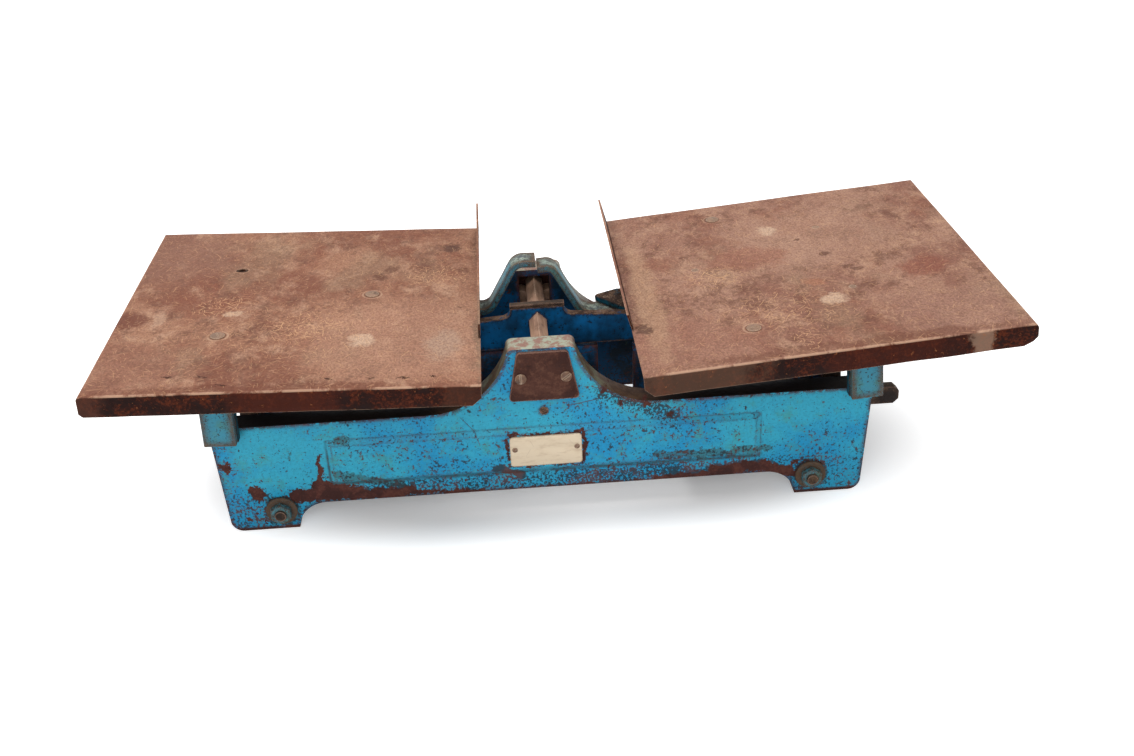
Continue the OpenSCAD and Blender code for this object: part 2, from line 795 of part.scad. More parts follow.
module front_bearing_cover() { color(rust) at_fulcrum() bearing_cover(); }
module rear_bearing_cover() { color(rust) at_fulcrum() mirror([0, 1, 0]) bearing_cover(); }

// Slotted screw with its head towards -Y, the head's underside at y
module slot_screw(x, y, z, head_r, head_h, r, l, turn) {
    difference() {
        union() {
            cyl_y(head_r, y - head_h, y, x, z);
            cyl_y(r, y, y + l, x, z);
        }
        translate([x, y - head_h, z]) rotate([0, turn, 0])
            cube([2 * head_r + 1, head_h, slot_w], center = true);
    }
}

module bearing_cover_screws() {
    color(steel) at_fulcrum() for (side = [0, 1]) mirror([0, side, 0]) for (s = [-1, 1])
        slot_screw(s * cover_screw_x, -half_d - cover_t, cover_screw_z, cover_head_r,
            screw_head_h, cover_screw_r, cover_screw_l, s < 0 ? slot_turns[0] : slot_turns[1]);
}

module bearing_set_screws() {
    color(steel) at_body() for (side = [0, 1]) mirror([0, side, 0])
        slot_screw(0, -half_d, set_screw_z, set_head_r, set_head_h, set_screw_r, set_screw_l,
            slot_turns[2]);
}

module name_plate() {
    y0 = -half_d - panel_t - plate_t;
    color(plate_col) at_body() difference() {
        translate([0, 0, plate_z]) across(y0, y0 + plate_t) round_rect(plate_l, plate_h, plate_r);
        for (s = [-1, 1]) cyl_y(plate_shank_r, y0 - 1, y0 + plate_t + 1, s * plate_pin_x, pin_z);
    }
}

module name_plate_pins() {
    y0 = -half_d - panel_t - plate_t;
    color(steel) at_body() for (s = [-1, 1]) {
        cyl_y(plate_pin_r, y0 - pin_head_h, y0, s * plate_pin_x, pin_z);
        cyl_y(plate_shank_r, y0, y0 + plate_t + 4, s * plate_pin_x, pin_z);
    }
}

module tie_rod(s) {
    half = half_d + washer_t + nut_t + rod_end;
    color(steel) at_body() cyl_y(rod_r, -half, half, s * rod_x, rod_z);
}

module left_tie_rod() { tie_rod(-1); }
module right_tie_rod() { tie_rod(1); }

module tie_rod_washers() {
    color(rust) at_body() for (s = [-1, 1], side = [0, 1]) mirror([0, side, 0])
        difference() {
            cyl_y(washer_r, -half_d - washer_t, -half_d, s * rod_x, rod_z);
            cyl_y(rod_r + rod_play, -half_d - washer_t - 1, -half_d + 1, s * rod_x, rod_z);
        }
}

module tie_rod_nuts() {
    y0 = -half_d - washer_t - nut_t;
    color(rust) at_body() for (s = [-1, 1], side = [0, 1]) mirror([0, side, 0])
        difference() {
            translate([s * rod_x, y0, rod_z]) rotate([-90, 0, 0]) rotate([0, 0, 30])
                cylinder(r = nut_af / sqrt(3), h = nut_t, $fn = 6);
            cyl_y(rod_r, y0 - 1, y0 + nut_t + 1, s * rod_x, rod_z);
        }
}

// Pin through the web on which the check link turns
module check_link_pivot() {
    color(steel) at_fulcrum() {
        cyl_y(pivot_r, -web_t / 2, link_y1 + side_play, 0, link_z);
        cyl_y(pivot_r + pin_rim, -web_t / 2 - pin_rim_t, -web_t / 2, 0, link_z);
        cyl_y(pivot_r + pin_rim, link_y1 + side_play, link_y1 + side_play + pin_rim_t, 0, link_z);
    }
}

module lock_pivot_pin() {
    y0 = -half_d + wall_t + 4;
    y1 = -lock_y + lock_t / 2 + side_play;
    color(steel) at_body() {
        cyl_y(lock_pin, y0, y1, lock_x, lock_z);
        cyl_y(lock_pin + pin_rim - 0.5, y1, y1 + 2, lock_x, lock_z);
    }
}

// Outline of the beam: hub, tapering bar and end bosses
module beam_2d() {
    x1 = knife_x - end_boss_r + 2;
    difference() {
        polygon([
            [-x1, -beam_end_bot], [-beam_level_x, -beam_bot], [beam_level_x, -beam_bot],
            [x1, -beam_end_bot], [x1, beam_end_top], [hub_half + hub_fillet, beam_top],
            [hub_half, beam_top], [hub_half, hub_top], [-hub_half, hub_top],
            [-hub_half, beam_top], [-hub_half - hub_fillet, beam_top], [-x1, beam_end_top]
        ]);
        knife_2d(fulcrum_w, fulcrum_t, shaft_fit);
    }
    for (s = [-1, 1]) difference() {
        translate([s * (hub_half + (s < 0 ? hub_fillet : 0)), beam_top - 0.5])
            square([hub_fillet, hub_fillet + 0.5]);
        translate([s * (hub_half + hub_fillet), beam_top + hub_fillet]) circle(r = hub_fillet);
    }
}

// Ears on the front of the bar that hold the tare screw
module tare_ears() {
    for (s = [-1, 1]) difference() {
        x = -tare_x + s * (tare_span + tare_ear_t) / 2;
        half = tare_r + tare_ear_wall;
        box([x - tare_ear_t / 2, -tare_y - half, tare_z - half],
            [x + tare_ear_t / 2, -beam_t / 2 + 1, tare_z + half]);
        cyl_x(tare_r, x - tare_ear_t, x + tare_ear_t, -tare_y, tare_z);
    }
}

module beam_bar() {
    color(paint_dark) at_beam() difference() {
        union() {
            across(-beam_t / 2, beam_t / 2) beam_2d();
            for (s = [-1, 1])
                cyl_y(end_boss_r, -end_boss_w / 2, end_boss_w / 2, s * knife_x, -end_shaft_w / 2);
            cyl_y(fulcrum_t / 2 + hub_boss_wall, beam_t / 2 - 0.5, beam_t / 2 + hub_boss_d,
                0, fulcrum_t / 2);
            tare_ears();
        }
        knife_bar(fulcrum_w, fulcrum_t, 40, 0, 0, shaft_fit);
        for (s = [-1, 1]) {
            knife_bar(end_shaft_w, end_shaft_w, end_boss_w, s * knife_x, -end_shaft_w, shaft_fit);
            translate([s * knife_x, 0, -end_shaft_w - 2]) cylinder(r = lock_pin_r, h = 40);
        }
        translate([0, 0, fulcrum_t / 2]) cylinder(r = lock_pin_r, h = 40);
    }
}

module beam_cap_plate() {
    half = hub_half + cap_over;
    color(rust) at_beam() box([-half, -cap_w / 2, hub_top], [half, cap_w / 2, hub_top + cap_t]);
}

module fulcrum_shaft() {
    color(steel) at_beam() difference() {
        knife_bar(fulcrum_w, fulcrum_t, fulcrum_half_l);
        translate([0, 0, fulcrum_t / 2]) cylinder(r = lock_pin_r, h = 40);
    }
}

module end_shaft(s) {
    color(steel) at_beam() difference() {
        knife_bar(end_shaft_w, end_shaft_w, end_shaft_half_l, s * knife_x, -end_shaft_w);
        translate([s * knife_x, 0, -end_shaft_w - 2]) cylinder(r = lock_pin_r, h = 40);
    }
}

module left_end_shaft() { end_shaft(-1); }
module right_end_shaft() { end_shaft(1); }

module shaft_lock_pins() {
    boss_top = -end_shaft_w / 2 + end_boss_r;
    color(steel) at_beam() {
        translate([0, 0, fulcrum_t / 2])
            cylinder(r = lock_pin_r, h = hub_top - fulcrum_t / 2 - 0.2);
        for (s = [-1, 1]) translate([s * knife_x, 0, -end_shaft_w - 2])
            cylinder(r = lock_pin_r, h = boss_top + end_shaft_w + 1.8);
    }
}

module tare_screw() {
    half = tare_span / 2 + tare_ear_t + 1.5;
    color(steel) at_beam() cyl_x(tare_r, -tare_x - half, -tare_x + half, -tare_y, tare_z);
}

module tare_nut() {
    x0 = -tare_x - tare_nut_l / 2;
    x1 = -tare_x + tare_nut_l / 2;
    color(steel) at_beam() difference() {
        union() {
            cyl_x(tare_nut_r, x0 + 2, x1 - 2, -tare_y, tare_z);
            cyl_x(tare_nut_r - 1.5, x0, x1, -tare_y, tare_z);
        }
        cyl_x(tare_r + turn_play, x0 - 1, x1 + 1, -tare_y, tare_z);
        for (a = [0:30:330]) translate([-tare_x, -tare_y, tare_z]) rotate([a, 0, 0])
            translate([-tare_nut_l, 0, tare_nut_r + 0.6]) rotate([0, 90, 0])
                cylinder(r = 1.4, h = 2 * tare_nut_l);
    }
}

// Outline of the arm's inner end seen from above, its end cut on the slant
module arm_tip_2d() {
    x0 = -arm_start + 6;
    x1 = -arm_reach;
    y1 = arm_tip_far;
    polygon([
        [x1, y1 - 2], [x1 + 2, y1 + 1], [x1 + 18, y1 + 6], [x1 + 40, y1], [x0, arm_y1],
        [x0, arm_y0], [x1 + arm_cut_x, y1 - arm_cut_y]
    ]);
}

// One leg with its bearing window, on the near side
module leg() {
    difference() {
        box([-leg_w / 2, -leg_y1, -leg_drop], [leg_w / 2, -leg_y0, bar_z1]);
        box([-window_half, -leg_y1 - 1, window_z0],
            [window_half, -leg_y0 + 1, saddle_h + saddle_play]);
    }
}

// The casting that hangs on one end of the beam and holds a pan
module carrier_frame(pan_h, arm_z) {
    post_top = pan_h - pan_t;
    difference() {
        union() {
            box([-leg_w / 2, -leg_y1, bar_z0], [leg_w / 2, leg_y1, bar_z1]);
            leg();
            mirror([0, 1, 0]) leg();
            box([-arm_start, arm_y0, bar_z0], [0, arm_y1, arm_z1]);
            translate([0, 0, arm_z]) linear_extrude(height = arm_tip_t) arm_tip_2d();
            translate([0, post_far, bar_z1 - 1]) cylinder(r = post_r, h = post_top - bar_z1 + 1);
            translate([0, -post_near, bar_z1 - 1])
                cylinder(r = post_r, h = post_top - bar_z1 + 1);
            translate([-post_in, post_in_y, bar_z0]) cylinder(r = post_r, h = post_top - bar_z0);
            box([-stem_head_w / 2, stem_y0 - stem_pad_t, stem_pad_z],
                [stem_head_w / 2, stem_y0, bar_z0 + 1]);
        }
        translate([0, post_far, bar_z1]) cylinder(r = pan_hole_r, h = 40);
        translate([0, -post_near, bar_z1]) cylinder(r = pan_hole_r, h = 40);
        translate([-post_in, post_in_y, bar_z1]) cylinder(r = pan_hole_r, h = 40);
        for (u = pointer_screw_u)
            translate([-u, pointer_screw_y, 0]) cylinder(r = pointer_screw_r, h = 30);
        for (x = stem_rivet_x) cyl_y(stem_rivet_r, 0, stem_y1 + 1, x, stem_rivet_z);
    }
}

// Grooved steel block over the end shaft, near side
module saddle() {
    w = window_half - saddle_play;
    reach = (saddle_skirt + edge_gap + 1) * tan(groove_half_angle);
    difference() {
        box([-w, -leg_y1, -saddle_skirt], [w, -leg_y0, saddle_h]);
        across(-leg_y1 - 1, -leg_y0 + 1) polygon([
            [0, edge_gap], [reach, -saddle_skirt - 1], [-reach, -saddle_skirt - 1]
        ]);
    }
}

module saddles() {
    for (side = [0, 1]) mirror([0, side, 0]) saddle();
}

// Plates that close the legs' windows, with a lipped lower edge
module leg_plates() {
    for (side = [0, 1]) mirror([0, side, 0])
        box([-leg_w / 2 + leg_plate_in, -leg_y1 - leg_plate_t, -leg_drop],
            [leg_w / 2 - leg_plate_in, -leg_y1, bar_z1]);
}

// Flat bar that hangs from the carrier to the check link, its head open for the end shaft
module stem() {
    difference() {
        union() {
            box([-stem_w / 2, stem_y0, -stem_l], [stem_w / 2, stem_y1, stem_top]);
            box([-stem_head_w / 2, stem_y0, window_z0 - stem_strap],
                [stem_head_w / 2, stem_y1, stem_top]);
            cyl_y(stem_w / 2, stem_y0, stem_y1, 0, -stem_l);
        }
        box([-window_half, stem_y0 - 1, window_z0], [window_half, stem_y1 + 1, stem_window_z1]);
        cyl_y(link_pin_r, 0, stem_y1 + 1, 0, -stem_l);
        for (x = stem_rivet_x) cyl_y(stem_rivet_r, 0, stem_y1 + 1, x, stem_rivet_z);
    }
}

module stem_rivets() {
    for (x = stem_rivet_x) {
        cyl_y(stem_rivet_r, stem_y0 - stem_pad_t, stem_y1, x, stem_rivet_z);
        cyl_y(stem_rivet_r + 1, stem_y1, stem_y1 + 1.5, x, stem_rivet_z);
    }
}

// Pin at the foot of the stem that runs in the check link's slot
module link_pin() {
    y0 = link_y0 - side_play;
    cyl_y(link_pin_r, y0, stem_y1, 0, -stem_l);
    cyl_y(link_pin_r + link_rim, y0 - link_head_t, y0, 0, -stem_l);
    cyl_y(link_pin_r + link_rim, link_y1 + side_play, stem_y0, 0, -stem_l);
}

// Area below a line that runs level at height h, bends down round c1 with radius r1, falls at
// slope a and bends level again round c2 with radius r2, from x0 to x1 and down to z0
module below_bends_2d(x0, x1, h, z0, c1, r1, c2, r2, a) {
    turn = [sin(a), cos(a)];
    far = 3 * r1;
    difference() {
        polygon([
            [x0, z0], [x0, h], c1 + r1 * [tan(a / 2), 1], c2 - r2 * turn,
            [c2[0], c2[1] - r2], [x1, c2[1] - r2], [x1, z0]
        ]);
        difference() {
            polygon([c1, c1 + [0, far], c1 + far * [sin(a), 1], c1 + far * turn]);
            translate(c1) circle(r = r1, $fn = 96);
        }
        translate(c2) circle(r = r2, $fn = 96);
    }
}

// Outline of a pointer in X and Z with its tip at x = 0 and +X running back along the foot:
// h is the tip's height, z0 the foot's underside, tip_l the level tip, ro the upper bend's
// outer radius, ri the lower bend's inner radius and a the slope of the rise
module pointer_2d(h, z0, tip_l, ro, ri, a) {
    t = pointer_t;
    straight = (h - z0 - t - (ro + ri) * (1 - cos(a))) / sin(a);
    c1 = [tip_l, h - ro];
    c2 = [tip_l + (ro + ri) * sin(a) + straight * cos(a), z0 + t + ri];
    difference() {
        below_bends_2d(0, pointer_run, h, z0, c1, ro, c2, ri, a);
        below_bends_2d(-1, pointer_run + 1, h - t, z0 - 2 * t, c1, ro - t, c2, ri + t, a);
    }
}

module pointer(reach, h, arm_z, tip_l, ro, ri, a) {
    difference() {
        translate([-reach, 0, 0]) across(pointer_y0, pointer_far)
            pointer_2d(h, arm_z - pointer_seam - pointer_t, tip_l, ro, ri, a);
        for (u = pointer_screw_u)
            translate([-u, pointer_screw_y, -10]) cylinder(r = pointer_screw_r, h = 40);
    }
}

// Screws through the pointer's foot and the arm, with the packing between the two
module pointer_screws(arm_z) {
    z0 = arm_z - pointer_seam - pointer_t;
    for (u = pointer_screw_u) translate([-u, pointer_screw_y, 0]) {
        translate([0, 0, z0 - pointer_head_h])
            cylinder(r = pointer_screw_r, h = arm_z + arm_tip_t - z0 + pointer_head_h);
        translate([0, 0, z0 - pointer_head_h]) cylinder(r = pointer_head_r, h = pointer_head_h);
        translate([0, 0, arm_z - pointer_seam]) cylinder(r = pointer_head_r, h = pointer_seam);
    }
}

// Envelope of a pan: top at z = 0, outer end at x = 0, inset by g on the turned-down sides
module pan_block(g) {
    r = pan_bend - g;
    h = apron_h;
    intersection() {
        translate([-pan_l, 0, 0]) rotate([90, 0, 90]) linear_extrude(height = pan_l) {
            translate([-pan_d / 2 + g + r, -h - g]) square([pan_d - 2 * g - 2 * r, h]);
            translate([-pan_d / 2 + g, -h - g]) square([pan_d - 2 * g, h - r]);
            for (s = [-1, 1]) translate([s * (pan_d / 2 - g - r), -g - r]) circle(r = r);
        }
        across(-pan_d, pan_d) {
            translate([-pan_l - 1, -h - g]) square([pan_l + 1 - g - r, h]);
            translate([-pan_l - 1, -h - g]) square([pan_l + 1 - g, h - r]);
            translate([-g - r, -g - r]) circle(r = r);
        }
    }
}

// Wedges that cut the lower corners of the turned-down edges
module apron_corner_cuts(outer) {
    c = apron_cut;
    z = -apron_h;
    for (s = [-1, 1]) translate([-pan_l, s * pan_d / 2, 0]) across(-10, 10)
        polygon([[-1, z - 1], [c, z - 1], [c, z], [0, z + c], [-1, z + c]]);
    for (s = [-1, 1]) translate([0, s * pan_d / 2, 0]) across(-10, 10)
        polygon([[1, z - 1], [-outer, z - 1], [-outer, z], [0, z + outer], [1, z + outer]]);
}

// Upturned flange on the pan's inner edge, h0 high at its near end and h1 at its far end
module pan_flange(h0, h1, lean) {
    y0 = -pan_d / 2 + flange_start;
    y1 = pan_d / 2;
    translate([-pan_l, 0, -pan_t]) rotate([0, -lean, 0]) rotate([90, 0, 90])
        linear_extrude(height = pan_t)
            polygon([[y0, 0], [y1, 0], [y1, h1 + pan_t], [y0, h0 + pan_t]]);
}

// One pan; holes lists the screw and rivet places
module pan(out, h, shift, h0, h1, lean, corner, holes) {
    difference() {
        translate([out, shift, h]) {
            difference() {
                pan_block(0);
                translate([-1, 0, 0]) pan_block_inner();
                apron_corner_cuts(corner);
            }
            pan_flange(h0, h1, lean);
        }
        for (p = holes) translate([p[0], p[1], h - 5]) cylinder(r = pan_hole_r, h = 10);
    }
}

// Space below a pan's sheet
module pan_block_inner() {
    translate([1, 0, 0]) pan_block(pan_t);
    box([-pan_l - 1, -pan_d / 2 + pan_bend, -apron_h - 1],
        [-pan_l + 2, pan_d / 2 - pan_bend, -pan_t]);
}

// Low round rivet or screw heads on a pan, with shanks of length l
module pan_heads(places, h, l) {
    for (p = places) translate([p[0], p[1], h]) {
        cylinder(r = rivet_r, h = rivet_h / 2);
        cylinder(r = rivet_r - 1, h = rivet_h);
        translate([0, 0, -l]) cylinder(r = pan_hole_r - 0.1, h = l);
    }
}

module left_carrier_frame() { color(paint_dark) at_left() carrier_frame(left_pan_h, left_arm_z); }
module left_saddles() { color(steel) at_left() saddles(); }
module left_leg_plates() { color(paint) at_left() leg_plates(); }
module left_stem() { color(rust) at_left() stem(); }
module left_stem_rivets() { color(steel) at_left() stem_rivets(); }
module left_link_pin() { color(steel) at_left() link_pin(); }
module left_pointer() {
    color(paint) at_left() pointer(left_pointer_reach, left_pointer_h, left_arm_z, left_tip_l,
        left_bend_r, left_low_r, left_slope);
}
module left_pointer_screws() { color(steel) at_left() pointer_screws(left_arm_z); }

module left_pan() {
    color(rust) at_left() pan(left_pan_out, left_pan_h, left_pan_shift,
        left_flange_h0, left_flange_h1, 0, left_corner_cut, post_holes);
}

module left_pan_rivets() { color(rust) at_left() pan_heads(left_rivets, left_pan_h, heads_l); }

module right_carrier_frame() { color(paint_dark) at_right() carrier_frame(right_pan_h, right_arm_z); }
module right_saddles() { color(steel) at_right() saddles(); }
module right_leg_plates() { color(paint) at_right() leg_plates(); }
module right_stem() { color(rust) at_right() stem(); }
module right_stem_rivets() { color(steel) at_right() stem_rivets(); }
module right_link_pin() { color(steel) at_right() link_pin(); }
module right_pointer() {
    color(paint) at_right() pointer(right_pointer_reach, right_pointer_h, right_arm_z,
        right_tip_l, right_bend_r, right_low_r, right_slope);
}
module right_pointer_screws() { color(steel) at_right() pointer_screws(right_arm_z); }

module right_pan() {
    color(rust) at_right() pan(right_pan_out, right_pan_h, right_pan_shift,
        right_flange_h0, right_flange_h1, right_flange_lean, right_corner_cut,
        concat(post_holes, stiffener_rivets));
}

// Screws sunk flush with the sheet, held in the posts
module right_pan_screws() {
    color(rust) at_right() for (p = post_holes) translate([p[0], p[1], right_pan_h - heads_l])
        cylinder(r = pan_hole_r - 0.1, h = heads_l);
}

module right_pan_stiffener() {
    z1 = right_pan_h - pan_t;
    y0 = stiffener_shift - stiffener_l / 2;
    color(rust) at_right() difference() {
        box([-stiffener_u - stiffener_w / 2, y0, z1 - stiffener_t],
            [-stiffener_u + stiffener_w / 2, y0 + stiffener_l, z1]);
        for (p = stiffener_rivets)
            translate([p[0], p[1], z1 - 10]) cylinder(r = pan_hole_r, h = 20);
    }
}

module right_pan_rivets() {
    color(rust) at_right()
        pan_heads(stiffener_rivets, right_pan_h, pan_t + stiffener_t);
}

// Flat link with a worn slot at each end, drawn level about its pivot
module check_link() {
    c0 = knife_x - slot_in;
    c1 = knife_x + slot_out;
    r = link_pin_r + slot_play;
    color(rust) at_fulcrum() translate([0, 0, link_z]) rotate([0, -beam_tilt, 0]) difference() {
        union() {
            box([-c0, link_y0, -link_half_h], [c0, link_y1, link_half_h]);
            cyl_y(link_end_r, link_y0, link_y1, 0, 0);
            for (s = [-1, 1]) {
                cyl_y(link_end_r, link_y0, link_y1, s * c0, 0);
                cyl_y(link_end_r, link_y0, link_y1, s * c1, 0);
                box([s * (c0 + c1) / 2 - (c1 - c0) / 2, link_y0, -link_end_r],
                    [s * (c0 + c1) / 2 + (c1 - c0) / 2, link_y1, link_end_r]);
            }
        }
        cyl_y(pivot_r + turn_play, 0, link_y1 + 1, 0, 0);
        for (s = [-1, 1]) {
            cyl_y(r, 0, link_y1 + 1, s * c0, 0);
            cyl_y(r, 0, link_y1 + 1, s * c1, 0);
            box([s * (c0 + c1) / 2 - (c1 - c0) / 2, 0, -r],
                [s * (c0 + c1) / 2 + (c1 - c0) / 2, link_y1 + 1, r]);
        }
    }
}

// Lock lever: a tail that stands out of the right end and an arm with a finger under the beam
module lock_lever() {
    y0 = -lock_y - lock_t / 2;
    y1 = -lock_y + lock_t / 2;
    h = lock_h / 2;
    color(rust) at_body() translate([lock_x, 0, lock_z]) difference() {
        union() {
            across(y0, y1) polygon([
                [0, -h], [lock_tail - lock_cut, -h], [lock_tail, -h + lock_cut],
                [lock_tail, h - lock_cut], [lock_tail - lock_cut, h], [0, h]
            ]);
            across(y0, y1) polygon([
                [0, -h], [0, h], [-lock_arm, finger_z - lock_z + finger_r + 1],
                [-lock_arm - 6, finger_z - lock_z + finger_r + 1],
                [-lock_arm - 6, finger_z - lock_z - finger_r - 2],
                [-lock_arm + 4, finger_z - lock_z - finger_r - 2]
            ]);
        }
        cyl_y(lock_pin + turn_play, y0 - 1, y1 + 1);
        cyl_y(finger_r - 1, y0 - 1, y1 + 1, -lock_arm, finger_z - lock_z);
    }
}

module lock_finger() {
    x = lock_x - lock_arm;
    color(steel) at_body() {
        cyl_y(finger_r - 1, -lock_y - lock_t / 2, -lock_y + lock_t / 2, x, finger_z);
        cyl_y(finger_r, -lock_y + lock_t / 2, beam_t / 2, x, finger_z);
    }
}

base_casting();
front_bearing_block();
rear_bearing_block();
front_bearing_cover();
rear_bearing_cover();
bearing_cover_screws();
bearing_set_screws();
name_plate();
name_plate_pins();
left_tie_rod();
right_tie_rod();
tie_rod_washers();
tie_rod_nuts();
check_link_pivot();
lock_pivot_pin();
beam_bar();
beam_cap_plate();
fulcrum_shaft();
left_end_shaft();
right_end_shaft();
shaft_lock_pins();
tare_screw();
tare_nut();
left_carrier_frame();
left_saddles();
left_leg_plates();
left_stem();
left_stem_rivets();
left_link_pin();
left_pointer();
left_pointer_screws();
left_pan();
left_pan_rivets();
right_carrier_frame();
right_saddles();
right_leg_plates();
right_stem();
right_stem_rivets();
right_link_pin();
right_pointer();
right_pointer_screws();
right_pan();
right_pan_screws();
right_pan_stiffener();
right_pan_rivets();
check_link();
lock_lever();
lock_finger();
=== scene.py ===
"""Two-pan counter scale: sheets, fittings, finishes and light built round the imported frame."""

import json
import logging
import math
from dataclasses import dataclass, fields
from enum import Enum
from typing import Callable, ClassVar, Sequence

import bmesh
import bpy
from mathutils import Matrix, Vector, noise


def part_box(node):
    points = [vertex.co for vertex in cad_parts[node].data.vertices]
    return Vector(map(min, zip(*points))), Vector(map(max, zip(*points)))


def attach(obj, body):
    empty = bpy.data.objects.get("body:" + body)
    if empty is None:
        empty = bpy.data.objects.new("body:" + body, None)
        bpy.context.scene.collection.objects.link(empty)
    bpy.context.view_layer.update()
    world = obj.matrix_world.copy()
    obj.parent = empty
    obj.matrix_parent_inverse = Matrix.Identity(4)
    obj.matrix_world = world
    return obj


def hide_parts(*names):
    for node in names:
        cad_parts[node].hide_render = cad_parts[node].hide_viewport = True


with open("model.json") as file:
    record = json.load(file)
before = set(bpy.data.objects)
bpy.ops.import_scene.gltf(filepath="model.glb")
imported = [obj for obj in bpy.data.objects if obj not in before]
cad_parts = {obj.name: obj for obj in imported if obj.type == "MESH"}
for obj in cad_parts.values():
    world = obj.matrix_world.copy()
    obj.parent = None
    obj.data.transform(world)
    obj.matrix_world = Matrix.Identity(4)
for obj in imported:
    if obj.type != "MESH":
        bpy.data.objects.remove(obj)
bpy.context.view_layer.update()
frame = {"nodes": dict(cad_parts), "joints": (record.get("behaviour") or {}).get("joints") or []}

log = logging.getLogger("scale")
logging.basicConfig(level=logging.INFO, format="%(name)s: %(message)s")

MM = 0.001
Colour = tuple[float, float, float, float]
Socket = bpy.types.NodeSocket
Node = bpy.types.Node


def srgb(r: int, g: int, b: int) -> Colour:
    """Linear colour of a screen colour given from 0 to 255.

    Args:
        r: red.
        g: green.
        b: blue.

    Returns:
        The colour with full alpha.
    """
    def one(v: float) -> float:
        """Linear value of one channel."""
        v /= 255
        return v / 12.92 if v <= 0.04045 else ((v + 0.055) / 1.055) ** 2.4
    return one(r), one(g), one(b), 1.0


class Side(Enum):
    """The two ends of the beam, by the direction from the fulcrum outwards."""

    LEFT = -1
    RIGHT = 1

    @property
    def word(self) -> str:
        """Name used in the frame's nodes and bodies."""
        return self.name.lower()


class Graph:
    """Short calls for building one node tree."""

    def __init__(self, tree: bpy.types.NodeTree) -> None:
        """Keeps the tree that the calls add to."""
        self.tree = tree

    def add(self, kind: str, inputs: dict | None = None, **settings: object) -> Node:
        """Adds a node.

        Args:
            kind: the node's type name.
            inputs: input name or index to a socket, which is linked, or a value.
            settings: properties of the node itself.

        Returns:
            The new node.
        """
        node = self.tree.nodes.new(kind)
        for name, value in settings.items():
            setattr(node, name, value)
        for name, value in (inputs or {}).items():
            if isinstance(value, Socket):
                self.tree.links.new(value, node.inputs[name])
            else:
                node.inputs[name].default_value = value
        return node

    def group(self, tree: bpy.types.NodeTree, **inputs: object) -> Sequence[Socket]:
        """Outputs of a node group with its named inputs set."""
        return self.add("ShaderNodeGroup", inputs, node_tree=tree).outputs

    def math(self, operation: str, a: object, b: object = 0.0, clamp: bool = False) -> Socket:
        """Output of a Math node on a and b."""
        return self.add("ShaderNodeMath", {0: a, 1: b}, operation=operation, use_clamp=clamp).outputs[0]

    def vec(self, operation: str, a: object, b: object = (0, 0, 0)) -> Socket:
        """Output of a Vector Math node, which is a number for a length or a dot product."""
        node = self.add("ShaderNodeVectorMath", {0: a, 1: b}, operation=operation)
        return node.outputs["Value" if operation in ("LENGTH", "DOT_PRODUCT") else 0]

    def scaled(self, vector: Socket, factor: object) -> Socket:
        """The vector times a number."""
        return self.add("ShaderNodeVectorMath", {0: vector, "Scale": factor}, operation="SCALE").outputs[0]

    def fold(self, operation: str, parts: Sequence[object]) -> Socket:
        """One Math operation over several values.

        Args:
            operation: the Math node's operation.
            parts: two or more sockets or numbers.

        Returns:
            The last node's output.
        """
        out = parts[0]
        for part in parts[1:]:
            out = self.math(operation, out, part)
        return out

    def total(self, *parts: object) -> Socket:
        """Sum of several values, kept from 0 to 1."""
        return self.math("ADD", self.fold("ADD", parts), 0.0, clamp=True)

    def product(self, *parts: object) -> Socket:
        """Product of several values."""
        return self.fold("MULTIPLY", parts)

    def most(self, *parts: object) -> Socket:
        """Largest of several values."""
        return self.fold("MAXIMUM", parts)

    def ramp(self, value: object, low: float, high: float, a: float = 0.0, b: float = 1.0) -> Socket:
        """Smooth step of value from low to high, giving a to b."""
        ends = {"Value": value, "From Min": low, "From Max": high, "To Min": a, "To Max": b}
        return self.add("ShaderNodeMapRange", ends, interpolation_type="SMOOTHSTEP").outputs["Result"]

    def mix(self, share: object, a: object, b: object) -> Socket:
        """Colour between a and b."""
        return self.add("ShaderNodeMix", {0: share, 6: a, 7: b}, data_type="RGBA").outputs[2]

    def noise(self, vector: Socket, scale: object, detail: float = 4.0, rough: float = 0.6,
              warp: float = 0.0, output: int = 0) -> Socket:
        """Grey value of a noise, or its colour with output 1.

        Args:
            vector: where the noise is read.
            scale: size of the pattern.
            detail: number of finer layers.
            rough: strength of the finer layers.
            warp: distortion.
            output: 0 for the grey value, 1 for the colour.

        Returns:
            The chosen output.
        """
        node = self.add("ShaderNodeTexNoise", {"Vector": vector, "Scale": scale, "Detail": detail,
                                               "Roughness": rough, "Distortion": warp})
        return node.outputs[output]

    def pushed(self, vector: Socket, scale: object, reach: object, detail: float = 6.0,
               rough: float = 0.75) -> Socket:
        """The vector pushed about by a noise, which makes outlines ragged."""
        cloud = self.noise(vector, scale, detail, rough, output=1)
        return self.vec("ADD", vector, self.scaled(self.vec("SUBTRACT", cloud, (0.5, 0.5, 0.5)), reach))

    def moved(self, vector: Socket, offset: Sequence[float] = (0, 0, 0),
              turn: Sequence[float] = (0, 0, 0), scale: Sequence[float] = (1, 1, 1)) -> Socket:
        """The vector through a Mapping node."""
        return self.add("ShaderNodeMapping", {"Vector": vector, "Location": offset, "Rotation": turn,
                                              "Scale": scale}).outputs[0]

    def axes(self, vector: Socket) -> tuple[Socket, Socket, Socket]:
        """The three parts of a vector."""
        out = self.add("ShaderNodeSeparateXYZ", {0: vector}).outputs
        return out[0], out[1], out[2]


